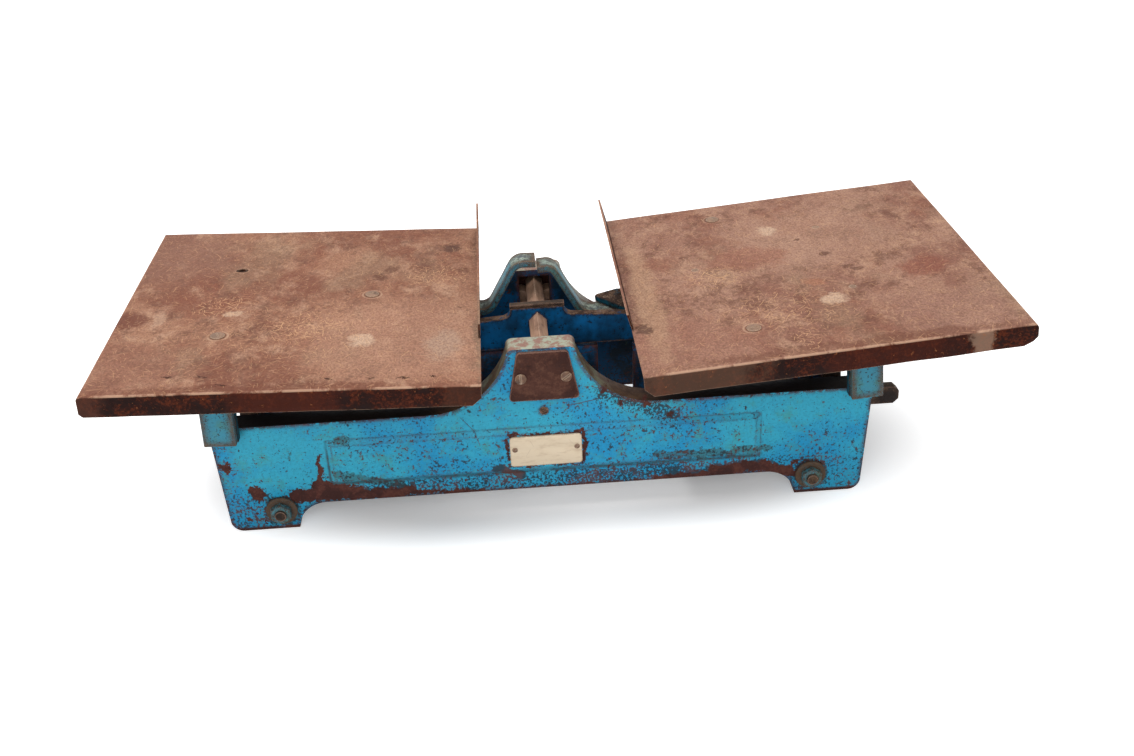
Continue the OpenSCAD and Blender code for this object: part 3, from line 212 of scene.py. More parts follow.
class Brush(Graph):
    """Graph of one material, with the shared effects, the place and the facing at hand."""

    def __init__(self, tree: bpy.types.NodeTree, fx: "Effects") -> None:
        """Adds the coordinates and the surface's direction.

        Args:
            tree: the material's node tree.
            fx: the shared effects.
        """
        super().__init__(tree)
        self.fx = fx
        self.vector = self.add("ShaderNodeTexCoord").outputs["Object"]
        _, self.ny, self.nz = self.axes(self.add("ShaderNodeNewGeometry").outputs["Normal"])

    def cloud(self, scale: float, detail: float, rough: float, low: float, high: float,
              a: float = 0.0, b: float = 1.0, vector: Socket | None = None, warp: float = 0.0) -> Socket:
        """Smooth step of a noise from low to high, giving a to b."""
        place = self.vector if vector is None else vector
        return self.ramp(self.noise(place, scale, detail, rough, warp), low, high, a, b)

    def specks(self, scale: float, density: object, offset: Sequence[float] | None = None) -> Socket:
        """Mask of ragged specks."""
        place = self.moved(self.vector, offset) if offset else self.vector
        return self.group(self.fx.specks, Vector=place, Scale=scale, Density=density)[0]

    def edges(self, width: float, breakup: float, amount: float) -> Socket:
        """Mask of worn edges."""
        return self.group(self.fx.edges, Vector=self.vector, Width=width, Breakup=breakup, Amount=amount)[0]

    def mottle(self, scale: float, low: Colour, middle: Colour, high: Colour,
               vector: Socket | None = None) -> Sequence[Socket]:
        """Colour and grey value of three mottled tones."""
        place = self.vector if vector is None else vector
        return self.group(self.fx.mottle, Vector=place, Scale=scale, Low=low, Middle=middle, High=high)

    def strokes(self, vector: Socket, scale: float, width: float, share: object) -> Socket:
        """Mask of short thin strokes."""
        return self.group(self.fx.strokes, Vector=vector, Scale=scale, Width=width, Share=share)[0]

    def patches(self, vector: Socket, patches: Sequence["Patch"]) -> Socket:
        """Share of a flat side that the marked places take, full inside them and falling off round them.

        Args:
            vector: place on the flat side, in metres.
            patches: the marked places.

        Returns:
            The share from 0 to 1.
        """
        share: object = 0.0
        for p in patches:
            start, end = (Vector((*point, 0)) * MM for point in (p.start, p.end))
            distance = self.group(self.fx.capsule, Vector=vector, From=start, To=end, Radius=p.radius * MM)[0]
            soft = p.ragged * MM
            share = self.math("MAXIMUM", share, self.ramp(distance, soft, -0.4 * soft, 0.0, p.strength))
        return share

    def oval(self, vector: Socket, grain: object, centre: Sequence[float],
             reach: Sequence[float]) -> Sequence[Socket]:
        """Mask of a soft oval in plan and distance from its centre, places in millimetres."""
        return self.group(self.fx.zone, Vector=vector, Centre=(centre[0] * MM, centre[1] * MM, 0),
                          Reach=(reach[0] * MM, reach[1] * MM, 1), Grain=grain)

    def zones(self, vector: Socket, grain: Socket, zones: Sequence["Zone"], tone: Socket) -> Socket:
        """Tone with each zone laid over it.

        Args:
            vector: place in plan.
            grain: grey value that breaks up the borders.
            zones: the ovals.
            tone: the colour under them.

        Returns:
            The new colour.
        """
        for zone in zones:
            mask = self.oval(vector, grain, zone.centre, zone.reach)[0]
            tone = self.mix(self.product(mask, zone.strength), tone, zone.colour)
        return tone

    def finish(self, colour: Socket, rough: Socket, height: Socket, depth: float,
               gloss: float = 0.25, metal: float = 0.0) -> None:
        """Adds the shader, with height as bump of the given depth in metres.

        Args:
            colour: base colour.
            rough: roughness.
            height: height of the bump.
            depth: the bump's depth in metres.
            gloss: specular level.
            metal: share of metal.
        """
        bump = self.add("ShaderNodeBump", {"Height": height, "Distance": depth, "Strength": 0.8})
        shader = self.add("ShaderNodeBsdfPrincipled", {
            "Base Color": colour, "Roughness": rough, "Metallic": metal, "Specular IOR Level": gloss,
            "Normal": bump.outputs[0]})
        self.add("ShaderNodeOutputMaterial", {0: shader.outputs[0]})


Sockets = dict[str, Socket]


def shared_group(name: str, inputs: dict[str, object], outputs: Sequence[str],
                 body: Callable[[Graph, Sockets], Sequence[Socket]]) -> bpy.types.NodeTree:
    """Builds one shader node group.

    Args:
        name: the group's name.
        inputs: input name to its default, a number, three numbers for a vector or four for a colour.
        outputs: names of the outputs, of which "Colour" is a colour and the others are numbers.
        body: function that fills the group and returns the sockets of the outputs in order.

    Returns:
        The finished group.
    """
    tree = bpy.data.node_groups.new(name, "ShaderNodeTree")
    for label, value in {"Vector": (0, 0, 0), **inputs}.items():
        kind = "Float" if isinstance(value, float) else ("Vector", "Color")[len(value) - 3]
        socket = tree.interface.new_socket(label, in_out="INPUT", socket_type="NodeSocket" + kind)
        socket.default_value = value
    for label in outputs:
        kind = "NodeSocketColor" if label == "Colour" else "NodeSocketFloat"
        tree.interface.new_socket(label, in_out="OUTPUT", socket_type=kind)
    entry = tree.nodes.new("NodeGroupInput")
    made = body(Graph(tree), {socket.name: socket for socket in entry.outputs if socket.name})
    leave = tree.nodes.new("NodeGroupOutput")
    for socket, label in zip(made, outputs):
        tree.links.new(socket, leave.inputs[label])
    return tree


def edge_body(g: Graph, i: Sockets) -> Sequence[Socket]:
    """Edges found by comparing the rounded normal with the true one, broken up by noise.

    Args:
        g: graph of the group.
        i: the group's inputs by name.

    Returns:
        The outputs' sockets in order.
    """
    bevel = g.add("ShaderNodeBevel", {"Radius": i["Width"]}, samples=6)
    plain = g.add("ShaderNodeNewGeometry").outputs["Normal"]
    edge = g.ramp(g.vec("DOT_PRODUCT", bevel.outputs[0], plain), 0.997, 0.93)
    ragged = g.ramp(g.noise(i["Vector"], i["Breakup"], 5, 0.7), 0.3, 0.62, 0.15, 1.3)
    cut = g.math("SUBTRACT", 0.75, g.math("MULTIPLY", i["Amount"], 0.6))
    return [g.ramp(g.math("SUBTRACT", g.math("MULTIPLY", edge, ragged), cut), 0.0, 0.18)]


def speckle_body(g: Graph, i: Sockets) -> Sequence[Socket]:
    """Ragged specks that cover about the given share of the surface.

    Args:
        g: graph of the group.
        i: the group's inputs by name.

    Returns:
        The outputs' sockets in order.
    """
    value = g.noise(i["Vector"], i["Scale"], 3, 0.66)
    limit = g.math("SUBTRACT", 0.76, g.math("MULTIPLY", i["Density"], 0.56))
    return [g.ramp(g.math("SUBTRACT", value, limit), 0.0, 0.02)]


def mottle_body(g: Graph, i: Sockets) -> Sequence[Socket]:
    """Three tones laid over each other in clouds of two sizes.

    Args:
        g: graph of the group.
        i: the group's inputs by name.

    Returns:
        The outputs' sockets in order.
    """
    wide = g.noise(i["Vector"], i["Scale"], 6, 0.62, 0.8)
    fine = g.noise(i["Vector"], g.math("MULTIPLY", i["Scale"], 9.0), 4, 0.7)
    first = g.mix(g.ramp(wide, 0.36, 0.64), i["Low"], i["Middle"])
    value = g.math("ADD", g.math("MULTIPLY", wide, 0.45), g.math("MULTIPLY", fine, 0.55))
    return [g.mix(g.ramp(value, 0.48, 0.62), first, i["High"]), fine]


def stroke_body(g: Graph, i: Sockets) -> Sequence[Socket]:
    """Short thin strokes, each in its own cell and its own direction.

    Args:
        g: graph of the group.
        i: the group's inputs by name.

    Returns:
        The outputs' sockets in order.
    """
    vector = g.pushed(i["Vector"], g.math("MULTIPLY", i["Scale"], 0.7), g.math("DIVIDE", 0.4, i["Scale"]),
                      1.0, 0.5)
    cell = g.add("ShaderNodeTexVoronoi", {"Vector": vector, "Scale": i["Scale"]},
                 voronoi_dimensions="2D").outputs
    dice_a, dice_b, dice_c = g.axes(cell["Color"])
    spun = g.add("ShaderNodeVectorRotate", {"Vector": g.vec("SUBTRACT", vector, cell["Position"]),
                                            "Angle": g.math("MULTIPLY", dice_a, math.pi)},
                 rotation_type="Z_AXIS").outputs[0]
    along, over, _ = g.axes(spun)
    width = g.math("MULTIPLY", i["Width"], g.math("ADD", 0.5, dice_c))
    line = g.ramp(g.math("DIVIDE", g.math("ABSOLUTE", over), width), 1.0, 0.3)
    length = g.math("DIVIDE", 0.45, i["Scale"])
    ends = g.ramp(g.math("DIVIDE", g.math("ABSOLUTE", along), length), 1.0, 0.6)
    return [g.product(line, ends, g.math("LESS_THAN", dice_b, i["Share"]))]


def zone_body(g: Graph, i: Sockets) -> Sequence[Socket]:
    """Soft oval in plan, full in the middle and broken towards its border.

    Args:
        g: graph of the group.
        i: the group's inputs by name.

    Returns:
        The outputs' sockets in order.
    """
    share = g.vec("DIVIDE", g.vec("SUBTRACT", i["Vector"], i["Centre"]), i["Reach"])
    distance = g.vec("LENGTH", g.vec("MULTIPLY", share, (1, 1, 0)))
    ragged = g.math("MULTIPLY", g.math("SUBTRACT", i["Grain"], 0.5), 1.6)
    return [g.ramp(g.math("ADD", distance, ragged), 1.15, 0.55), distance]


def capsule_body(g: Graph, i: Sockets) -> Sequence[Socket]:
    """Distance from a bar with round ends between two points.

    Args:
        g: graph of the group.
        i: the group's inputs by name.

    Returns:
        The outputs' sockets in order.
    """
    to = g.vec("SUBTRACT", i["Vector"], i["From"])
    bar = g.vec("SUBTRACT", i["To"], i["From"])
    square = g.math("MAXIMUM", g.vec("DOT_PRODUCT", bar, bar), 1e-9)
    share = g.math("DIVIDE", g.vec("DOT_PRODUCT", to, bar), square, clamp=True)
    length = g.vec("LENGTH", g.vec("SUBTRACT", to, g.scaled(bar, share)))
    return [g.math("SUBTRACT", length, i["Radius"])]


def dust_body(g: Graph, i: Sockets) -> Sequence[Socket]:
    """Dust that lies on what faces up, thinned by noise.

    Args:
        g: graph of the group.
        i: the group's inputs by name.

    Returns:
        The outputs' sockets in order.
    """
    up = g.axes(g.add("ShaderNodeNewGeometry").outputs["Normal"])[2]
    cloud = g.ramp(g.noise(i["Vector"], 45, 5, 0.7), 0.35, 0.65)
    return [g.product(g.ramp(up, 0.3, 0.95), cloud, i["Amount"])]


class Effects:
    """The shader node groups that several finishes share."""

    def __init__(self) -> None:
        """Builds each group once."""
        black, grey, white = (0, 0, 0, 1), (0.5, 0.5, 0.5, 1), (1, 1, 1, 1)
        self.edges = shared_group(
            "edge wear", {"Width": 0.002, "Breakup": 160.0, "Amount": 0.5}, ["Mask"], edge_body)
        self.specks = shared_group("specks", {"Scale": 500.0, "Density": 0.2}, ["Mask"], speckle_body)
        self.mottle = shared_group(
            "mottle", {"Scale": 20.0, "Low": black, "Middle": grey, "High": white}, ["Colour", "Value"],
            mottle_body)
        self.strokes = shared_group(
            "scratches", {"Scale": 60.0, "Width": 0.0004, "Share": 0.7}, ["Mask"], stroke_body)
        self.zone = shared_group(
            "oval", {"Centre": (0, 0, 0), "Reach": (0.01, 0.01, 1), "Grain": 0.5}, ["Mask", "Distance"],
            zone_body)
        self.capsule = shared_group(
            "bar distance", {"From": (0, 0, 0), "To": (0, 0, 1), "Radius": 0.01}, ["Distance"],
            capsule_body)
        self.dust = shared_group("dust", {"Amount": 0.5}, ["Mask"], dust_body)


@dataclass(frozen=True)
class Patch:
    """A place drawn as a bar with round ends, in millimetres of its flat side, used for wear, stains, cracks
    and painted shade.
    """

    start: tuple[float, float]
    end: tuple[float, float]
    radius: float
    ragged: float = 5.0
    strength: float = 1.0


@dataclass(frozen=True)
class Finish:
    """A surface finish, which builds one material."""

    name: str

    def build(self, fx: Effects) -> bpy.types.Material:
        """Makes the material.

        Args:
            fx: the shared effects.

        Returns:
            The material, with its Principled shader linked.
        """
        material = bpy.data.materials.new(self.name)
        material.use_nodes = True
        material.node_tree.nodes.clear()
        self.fill(Brush(material.node_tree, fx))
        return material

    def fill(self, g: Brush) -> None:
        """Links the finish's colour, roughness and height to the shader."""
        raise NotImplementedError


@dataclass(frozen=True)
class CastPaint(Finish):
    """Turquoise paint on cast iron, with rust, chips and a deep blue inside."""

    paint: Colour = srgb(46, 164, 194)
    paint_blue: Colour = srgb(16, 142, 192)
    paint_teal: Colour = srgb(60, 148, 148)
    green: Colour = srgb(44, 74, 62)
    # Dark teal of the panel's edges: painted shade with some dirt.
    groove: Colour = srgb(20, 76, 84)
    rust: Colour = srgb(76, 38, 32)
    speck: Colour = srgb(16, 34, 40)
    inner: Colour = srgb(2, 84, 132)
    inner_dark: Colour = srgb(2, 34, 54)
    mint: Colour = srgb(156, 160, 140)
    pink: Colour = srgb(136, 98, 84)
    brown: Colour = srgb(88, 66, 50)
    # Nearly black painted shade on the shoulders under the pans.
    under_pan: Colour = srgb(26, 20, 18)
    bare: tuple[Patch, ...] = ()
    plate_halo: tuple[Patch, ...] = ()
    crowded: tuple[Patch, ...] = ()
    stains: tuple[Patch, ...] = ()
    lines: tuple[Patch, ...] = ()
    # Lines along the raised panel's edges that get painted shade with some dirt.
    grooves: tuple[Patch, ...] = ()
    wall_in: float = 57 * MM
    shoulder: float = 87 * MM
    middle_x: float = -10.6 * MM

    def fill(self, g: Brush) -> None:
        """Outside, inside and rim colours, then dirt, painted shade along the panel's edges, specks, bare
        iron and worn edges.

        Args:
            g: graph of the finish's material.
        """
        x, y, z = g.axes(g.vector)
        pushed = g.axes(g.pushed(g.vector, 90, 0.016))
        plane = g.add("ShaderNodeCombineXYZ", {0: x, 1: z}).outputs[0]
        ragged = g.add("ShaderNodeCombineXYZ", {0: pushed[0], 1: pushed[2]}).outputs[0]
        far_y = g.math("ABSOLUTE", y)
        wide = g.noise(g.vector, 16, 5, 0.6)
        middle = g.noise(g.vector, 75, 5, 0.7)
        low = g.ramp(z, 0.042, 0.026)
        outside = g.ramp(far_y, self.wall_in - 0.2 * MM, self.wall_in + 0.3 * MM)
        front_side = g.product(outside, g.math("LESS_THAN", y, 0.0))
        bare = g.most(g.product(g.patches(ragged, self.bare), outside),
                      g.product(g.patches(ragged, self.plate_halo), front_side))
        stained = g.product(g.patches(ragged, self.stains), front_side)
        paint = g.mix(g.ramp(wide, 0.42, 0.64), self.paint, self.paint_blue)
        paint = g.mix(g.ramp(middle, 0.5, 0.7, 0, 0.7), paint, self.paint_teal)
        paint = g.mix(g.product(low, 0.5), paint, self.paint_blue)
        faces_in = g.math("LESS_THAN", g.product(g.ny, g.math("SIGN", y)), -0.3)
        inside = g.most(g.math("SUBTRACT", 1.0, outside), faces_in)
        body = g.mix(inside, paint, g.mix(g.cloud(34, 5, 0.7, 0.42, 0.6), self.inner, self.inner_dark))
        grain = g.noise(g.vector, 620, 3, 0.7)
        body = g.mix(g.ramp(grain, 0.4, 0.72, 0, 0.2), body, self.speck)
        clouds = g.cloud(42, 5, 0.7, 0.56, 0.72, 0, 0.5, g.moved(g.vector, (0.4, 0.2, 0.9)))
        stain = g.specks(170, g.total(stained, clouds))
        body = g.mix(g.product(stain, 0.6), body, self.green)
        # Painted shade, with some dirt, along the raised panel's edges, darkest along the lower one.
        groove = g.product(g.patches(plane, self.grooves), front_side, g.ramp(middle, 0.36, 0.56, 0.35, 0.85))
        body = g.mix(groove, body, self.groove)
        crowd = g.total(g.ramp(wide, 0.4, 0.66, 0.25, 0.34), g.product(low, 0.1), g.product(bare, 0.3),
                        g.product(stain, 0.12), g.product(g.patches(ragged, self.crowded), front_side))
        coarse = g.specks(250, g.math("MULTIPLY", crowd, 0.8), (0.8, 0.5, 0.2))
        specks = g.product(g.most(g.specks(520, crowd), coarse), 0.92)
        body = g.mix(specks, body, g.mix(g.ramp(middle, 0.45, 0.6), self.speck, self.rust))
        rim = g.product(g.ramp(g.math("ABSOLUTE", g.ny), 0.8, 0.45), g.ramp(g.nz, -0.3, 0.0),
                        g.ramp(far_y, self.wall_in - 0.8 * MM, self.wall_in + 0.2 * MM),
                        g.ramp(z, self.shoulder - 0.8 * MM, self.shoulder + 0.6 * MM))
        body = g.mix(rim, body, self.rim_colour(g, x, z))
        big = g.specks(130, g.total(0.06, g.product(low, 0.14), g.product(bare, 0.2)), (0.3, 0.1, 0.7))
        sole = g.product(g.ramp(z, 0.0036, 0.0016), g.ramp(middle, 0.3, 0.4, 0.6, 1.0))
        lost = g.most(g.specks(260, bare), big, g.product(g.edges(0.0065, 230, 0.5), g.ramp(rim, 0.7, 0.1)),
                      sole, g.patches(plane, self.lines))
        body = g.mix(lost, body, g.mottle(70, srgb(52, 24, 20), self.rust, srgb(88, 50, 40))[0])
        height = g.math("ADD", g.product(grain, 0.45), g.product(middle, 0.55))
        g.finish(body, g.ramp(lost, 0, 1, 0.45, 0.8), height, 0.0006)

    def rim_colour(self, g: Brush, x: Socket, z: Socket) -> Socket:
        """Bare top side of the walls: mint and pink on the crowns, brown on the flanks, and nearly black
        painted shade on the shoulders under the pans.

        Args:
            g: graph of the finish's material.
            x: place along the housing.
            z: height.

        Returns:
            The rim's colour.
        """
        mottle = g.noise(g.vector, 130, 6, 0.78)
        crown = g.mix(g.ramp(mottle, 0.44, 0.56), self.pink, self.mint)
        flank = g.mix(g.ramp(mottle, 0.42, 0.6), self.brown, srgb(112, 112, 92))
        colour = g.mix(g.product(g.ramp(z, 0.118, 0.128), g.ramp(g.nz, 0.6, 0.9)), flank, crown)
        shoulder = g.mix(g.ramp(mottle, 0.4, 0.6), srgb(62, 44, 34), self.brown)
        colour = g.mix(g.ramp(z, 0.108, 0.094), colour, shoulder)
        # Painted shade: the shoulders under the pans turn nearly black.
        away = g.math("ABSOLUTE", g.math("SUBTRACT", x, self.middle_x))
        return g.mix(g.ramp(away, 0.062, 0.09), colour, self.under_pan)


@dataclass(frozen=True)
class DarkPaint(Finish):
    """Deep blue paint inside the scale, dirty, with brown worn edges."""

    blue: Colour = srgb(0, 92, 148)
    dark: Colour = srgb(0, 46, 76)
    brown: Colour = srgb(92, 68, 56)

    def fill(self, g: Brush) -> None:
        """Blue clouds, black specks and brown edges and tops.

        Args:
            g: graph of the finish's material.
        """
        body = g.mix(g.cloud(26, 5, 0.65, 0.38, 0.62), self.blue, self.dark)
        specks = g.specks(420, g.total(0.24, g.product(g.edges(0.005, 140, 1.0), 0.3)))
        body = g.mix(g.product(specks, 0.9), body, srgb(8, 12, 14))
        top = g.product(g.ramp(g.nz, 0.6, 0.9), g.cloud(90, 5, 0.7, 0.3, 0.45))
        lost = g.most(g.edges(0.002, 140, 0.6), top)
        body = g.mix(lost, body, g.mottle(70, srgb(48, 34, 28), self.brown, srgb(120, 96, 78))[0])
        g.finish(body, g.ramp(lost, 0, 1, 0.6, 0.85), g.noise(g.vector, 380, 5, 0.6), 0.0004, gloss=0.12)


@dataclass(frozen=True)
class FadedPaint(Finish):
    """Turquoise paint on small parts, gone pale or brown on top and rusty along its edges."""

    paint: Colour = srgb(50, 142, 168)
    faded: Colour = srgb(66, 128, 128)
    pale: Colour = srgb(150, 154, 134)
    brown: Colour = srgb(78, 58, 46)
    top_share: float = 0.8
    border: float = 0.0085
    border_amount: float = 0.8
    density: float = 0.3

    def fill(self, g: Brush) -> None:
        """Paint on the sides, mixed mint and brown on top, green dirt and rust round the border.

        Args:
            g: graph of the finish's material.
        """
        body = g.mix(g.cloud(60, 5, 0.65, 0.44, 0.62), self.paint, self.faded)
        top_tone = g.mix(g.cloud(110, 6, 0.78, 0.44, 0.56), self.brown, self.pale)
        body = g.mix(g.product(g.ramp(g.nz, 0.35, 0.75), self.top_share), body, top_tone)
        wide = g.edges(self.border * 1.4, 170, self.border_amount)
        body = g.mix(g.product(wide, 0.7), body, srgb(64, 78, 62))
        specks = g.specks(520, g.total(self.density, g.product(wide, 0.2)))
        body = g.mix(g.product(specks, 0.8), body, srgb(40, 38, 32))
        worn = g.edges(self.border, 230, self.border_amount)
        body = g.mix(worn, body, g.mix(g.noise(g.vector, 200), srgb(58, 36, 28), srgb(110, 84, 62)))
        g.finish(body, g.ramp(worn, 0, 1, 0.5, 0.8), g.noise(g.vector, 420, 5, 0.6), 0.0004)


@dataclass(frozen=True)
class Rusty(Finish):
    """Bare iron with an even coat of old rust."""

    low: Colour = srgb(38, 24, 20)
    middle: Colour = srgb(62, 42, 36)
    high: Colour = srgb(98, 74, 60)
    edge: Colour = srgb(150, 116, 98)
    edge_amount: float = 0.5
    scale: float = 55.0
    dust: float = 0.2

    def fill(self, g: Brush) -> None:
        """Mottled rust with worn edges, fine grain and a few dark pits.

        Args:
            g: graph of the finish's material.
        """
        tone, grain = g.mottle(self.scale, self.low, self.middle, self.high)
        body = g.mix(g.product(g.edges(0.0016, 240, self.edge_amount), 0.75), tone, self.edge)
        pits = g.product(g.specks(520, 0.2), 0.6)
        body = g.mix(pits, body, srgb(22, 14, 12))
        dust = g.group(g.fx.dust, Vector=g.vector, Amount=self.dust)[0]
        body = g.mix(dust, body, srgb(150, 132, 112))
        height = g.math("SUBTRACT", grain, pits)
        g.finish(body, g.ramp(grain, 0.3, 0.7, 0.6, 0.82), height, 0.0004, gloss=0.18)


@dataclass(frozen=True)
class WornSteel(Finish):
    """Tan steel worn bright where it bears, stained elsewhere."""

    light: Colour = srgb(180, 142, 118)
    tone: Colour = srgb(144, 110, 88)
    stain: Colour = srgb(88, 60, 48)
    metal: float = 0.15

    def fill(self, g: Brush) -> None:
        """Streaked tan steel with rust stains.

        Args:
            g: graph of the finish's material.
        """
        streak = g.noise(g.moved(g.vector, scale=(1, 0.25, 1)), 210, 5, 0.65)
        body = g.mix(g.ramp(streak, 0.36, 0.64), self.tone, self.light)
        body = g.mix(g.cloud(70, 5, 0.7, 0.54, 0.68, 0, 0.8), body, self.stain)
        body = g.mix(g.product(g.edges(0.0012, 200, 0.6), 0.6), body, srgb(200, 174, 150))
        g.finish(body, g.ramp(streak, 0.3, 0.7, 0.42, 0.62), streak, 0.0002, gloss=0.35, metal=self.metal)


@dataclass(frozen=True)
class Zone:
    """A soft oval on a pan, in millimetres of the frame."""

    centre: tuple[float, float]
    reach: tuple[float, float]
    colour: Colour = srgb(222, 184, 150)
    strength: float = 0.6


@dataclass(frozen=True)
class PanRust(Finish):
    """Brown rusted sheet, rubbed smooth on top, nearly black red on the turned-down edges, which is rust
    darkened further as painted shade.
    """

    low: Colour = srgb(130, 84, 66)
    middle: Colour = srgb(164, 120, 96)
    high: Colour = srgb(188, 148, 122)
    red: Colour = srgb(132, 80, 62)
    deep: Colour = srgb(108, 72, 58)
    grey: Colour = srgb(154, 126, 102)
    # Dark red rust of the turned-down sides, darkened further as painted shade.
    apron: Colour = srgb(40, 10, 3)
    scratch: Colour = srgb(208, 162, 122)
    zones: tuple[Zone, ...] = ()
    side_zones: tuple[Zone, ...] = ()
    tangles: tuple[Zone, ...] = ()
    lines: tuple[Patch, ...] = ()
    heads: tuple[tuple[float, float], ...] = ()
    holes: tuple[tuple[float, float], ...] = ()
    offset: float = 0.0

    def fill(self, g: Brush) -> None:
        """Clouded rust, marks and scratches on top, dark sides partly darkened as painted shade, and a
        painted highlight on the bends.

        Args:
            g: graph of the finish's material.
        """
        moved = g.moved(g.vector, (self.offset, self.offset * 0.7, 0), scale=(1, 0.7, 1))
        loose = g.pushed(g.vector, 50, 0.024)
        mid = g.noise(moved, 48, 6, 0.7, 0.3)
        grain = g.noise(moved, 700, 3, 0.75)
        tone = g.mix(g.cloud(13, 6, 0.62, 0.4, 0.6, vector=moved, warp=0.4), self.low, self.middle)
        tone = g.mix(g.ramp(mid, 0.47, 0.68, 0, 0.75), tone, self.high)
        for offset, scale, detail, rough, low, high, share, colour in (
                ((1.7, 0.4, 0), 21, 6, 0.72, 0.48, 0.64, 0.55, self.red),
                ((3.1, 1.4, 0), 58, 7, 0.78, 0.5, 0.62, 0.7, self.deep),
                ((0.2, 2.4, 0), 15, 5, 0.6, 0.52, 0.68, 0.45, self.grey)):
            mask = g.cloud(scale, detail, rough, low, high, 0, share, g.moved(moved, offset))
            tone = g.mix(mask, tone, colour)
        tone = g.zones(loose, mid, self.zones, tone)
        tone = g.mix(g.ramp(grain, 0.36, 0.62, 0.42, 0.0), tone, srgb(80, 48, 38))
        tone = self.ringed(g, mid, self.scratched(g, mid, tone))
        fine = g.noise(moved, 260, 5, 0.75)
        # The turned-down sides: dark red rust, darkened further as painted shade.
        side = g.mottle(60, srgb(22, 4, 2), self.apron, srgb(82, 34, 15), moved)[0]
        side = g.zones(loose, mid, self.side_zones, side)
        side = g.mix(g.ramp(fine, 0.62, 0.7, 0, 0.6), side, srgb(158, 98, 62))
        body = g.mix(g.ramp(g.nz, 0.55, 0.8), side, tone)
        # Painted highlight on the bends of the sheet, picked out by their slope.
        bend = g.product(g.ramp(g.nz, 0.5, 0.66), g.ramp(g.nz, 0.97, 0.88), g.ramp(mid, 0.42, 0.54))
        body = g.mix(g.product(bend, 0.6), body, srgb(196, 158, 132))
        worn = g.product(g.edges(0.0009, 260, 0.5), g.ramp(g.nz, 0.6, 0.2), 0.6)
        body = g.mix(worn, body, srgb(160, 132, 112))
        height = g.math("ADD", g.product(grain, 0.35), g.product(mid, 0.65))
        g.finish(body, g.ramp(fine, 0.3, 0.7, 0.5, 0.7), height, 0.0004, gloss=0.1)

    def scratched(self, g: Brush, mid: Socket, tone: Socket) -> Socket:
        """Tone with thin light scratches, crowded in the tangles, and single long lines.

        Args:
            g: graph of the finish's material.
            mid: grey value of a middling noise.
            tone: the colour under the scratches.

        Returns:
            The new colour.
        """
        tangle = g.most(*(g.product(g.oval(g.vector, mid, z.centre, z.reach)[0], z.strength)
                          for z in self.tangles))
        share = g.total(0.34, tangle)
        sizes = ((80, 0.0003), (120, 0.00028), (160, 0.00026), (210, 0.00024), (280, 0.00022))
        layers = [g.strokes(g.moved(g.vector, (0.11 * k, 0.07 * k, 0), (0, 0, 0.7 * k)), scale, width, share)
                  for k, (scale, width) in enumerate(sizes)]
        line = g.product(g.patches(g.moved(g.vector, scale=(1, 1, 0)), self.lines), 0.6)
        mask = g.product(g.most(*layers, line), g.ramp(tangle, 0, 0.5, 0.42, 0.8))
        return g.mix(mask, tone, self.scratch)

    def ringed(self, g: Brush, mid: Socket, tone: Socket) -> Socket:
        """Tone with a dark and a pale ring round each head, and a painted shadow round each hole.

        Args:
            g: graph of the finish's material.
            mid: grey value of a middling noise.
            tone: the colour under the rings.

        Returns:
            The new colour.
        """
        for place in self.heads:
            distance = g.oval(g.vector, 0.5, place, (1, 1))[1]
            dark = g.product(g.ramp(distance, 6.2, 5.4), 0.6)
            pale = g.product(g.ramp(distance, 8.0, 7.2), g.ramp(distance, 6.0, 6.7),
                             g.ramp(mid, 0.4, 0.52, 0.1, 0.5))
            tone = g.mix(pale, g.mix(dark, tone, srgb(82, 58, 46)), srgb(190, 156, 130))
        # Painted shadow: a nearly black oval round each hole, wider than the hole itself.
        for place in self.holes:
            distance = g.oval(g.vector, 0.5, place, (4.6, 2.8))[1]
            tone = g.mix(g.ramp(distance, 1.1, 0.85, 0, 0.92), tone, srgb(22, 14, 12))
        return tone


@dataclass(frozen=True)
class AgedPlate(Finish):
    """Bare cream plate with fine dirt and scuffs."""

    cream: Colour = srgb(216, 198, 172)
    dirt: Colour = srgb(176, 148, 118)

    def fill(self, g: Brush) -> None:
        """Cream with brown clouds, scuffs and dark edges.

        Args:
            g: graph of the finish's material.
        """
        clouds = g.noise(g.moved(g.vector, scale=(0.3, 1, 1)), 190, 6, 0.7)
        body = g.mix(g.ramp(clouds, 0.46, 0.7, 0, 0.5), self.cream, self.dirt)
        lines = g.strokes(g.moved(g.vector, turn=(1.5708, 0, 0)), 110, 0.0003, 0.35)
        body = g.mix(g.product(lines, 0.22), body, srgb(138, 108, 84))
        worn = g.math("MULTIPLY", g.edges(0.0012, 220, 0.6), 0.7)
        body = g.mix(worn, body, srgb(110, 84, 66))
        g.finish(body, g.ramp(clouds, 0.3, 0.7, 0.4, 0.6), clouds, 0.0002, metal=0.1)


def place_mesh(mesh: bpy.types.Mesh, name: str, body: str, material: bpy.types.Material,
               replaced: Sequence[str] = (), smooth: float = 35.0) -> bpy.types.Object:
    """Makes a finished piece of a mesh in the frame's own place.

    Args:
        mesh: the mesh, in metres of the frame.
        name: the piece's name.
        body: the body it rides on.
        material: its only material.
        replaced: nodes it stands for.
        smooth: angle in degrees above which an edge stays sharp.

    Returns:
        The new object.
    """
    mesh.materials.clear()
    mesh.materials.append(material)
    mesh.polygons.foreach_set("use_smooth", [True] * len(mesh.polygons))
    mesh.set_sharp_from_angle(angle=math.radians(smooth))
    piece = bpy.data.objects.new(name, mesh)
    bpy.context.scene.collection.objects.link(piece)
    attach(piece, body)
    if replaced:
        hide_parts(*replaced)
    log.info("%s rides on %s, %d faces", name, body, len(mesh.polygons))
    return piece


SAME_PLACE = 0.003 * MM
FLAT_ANGLE = math.radians(0.6)


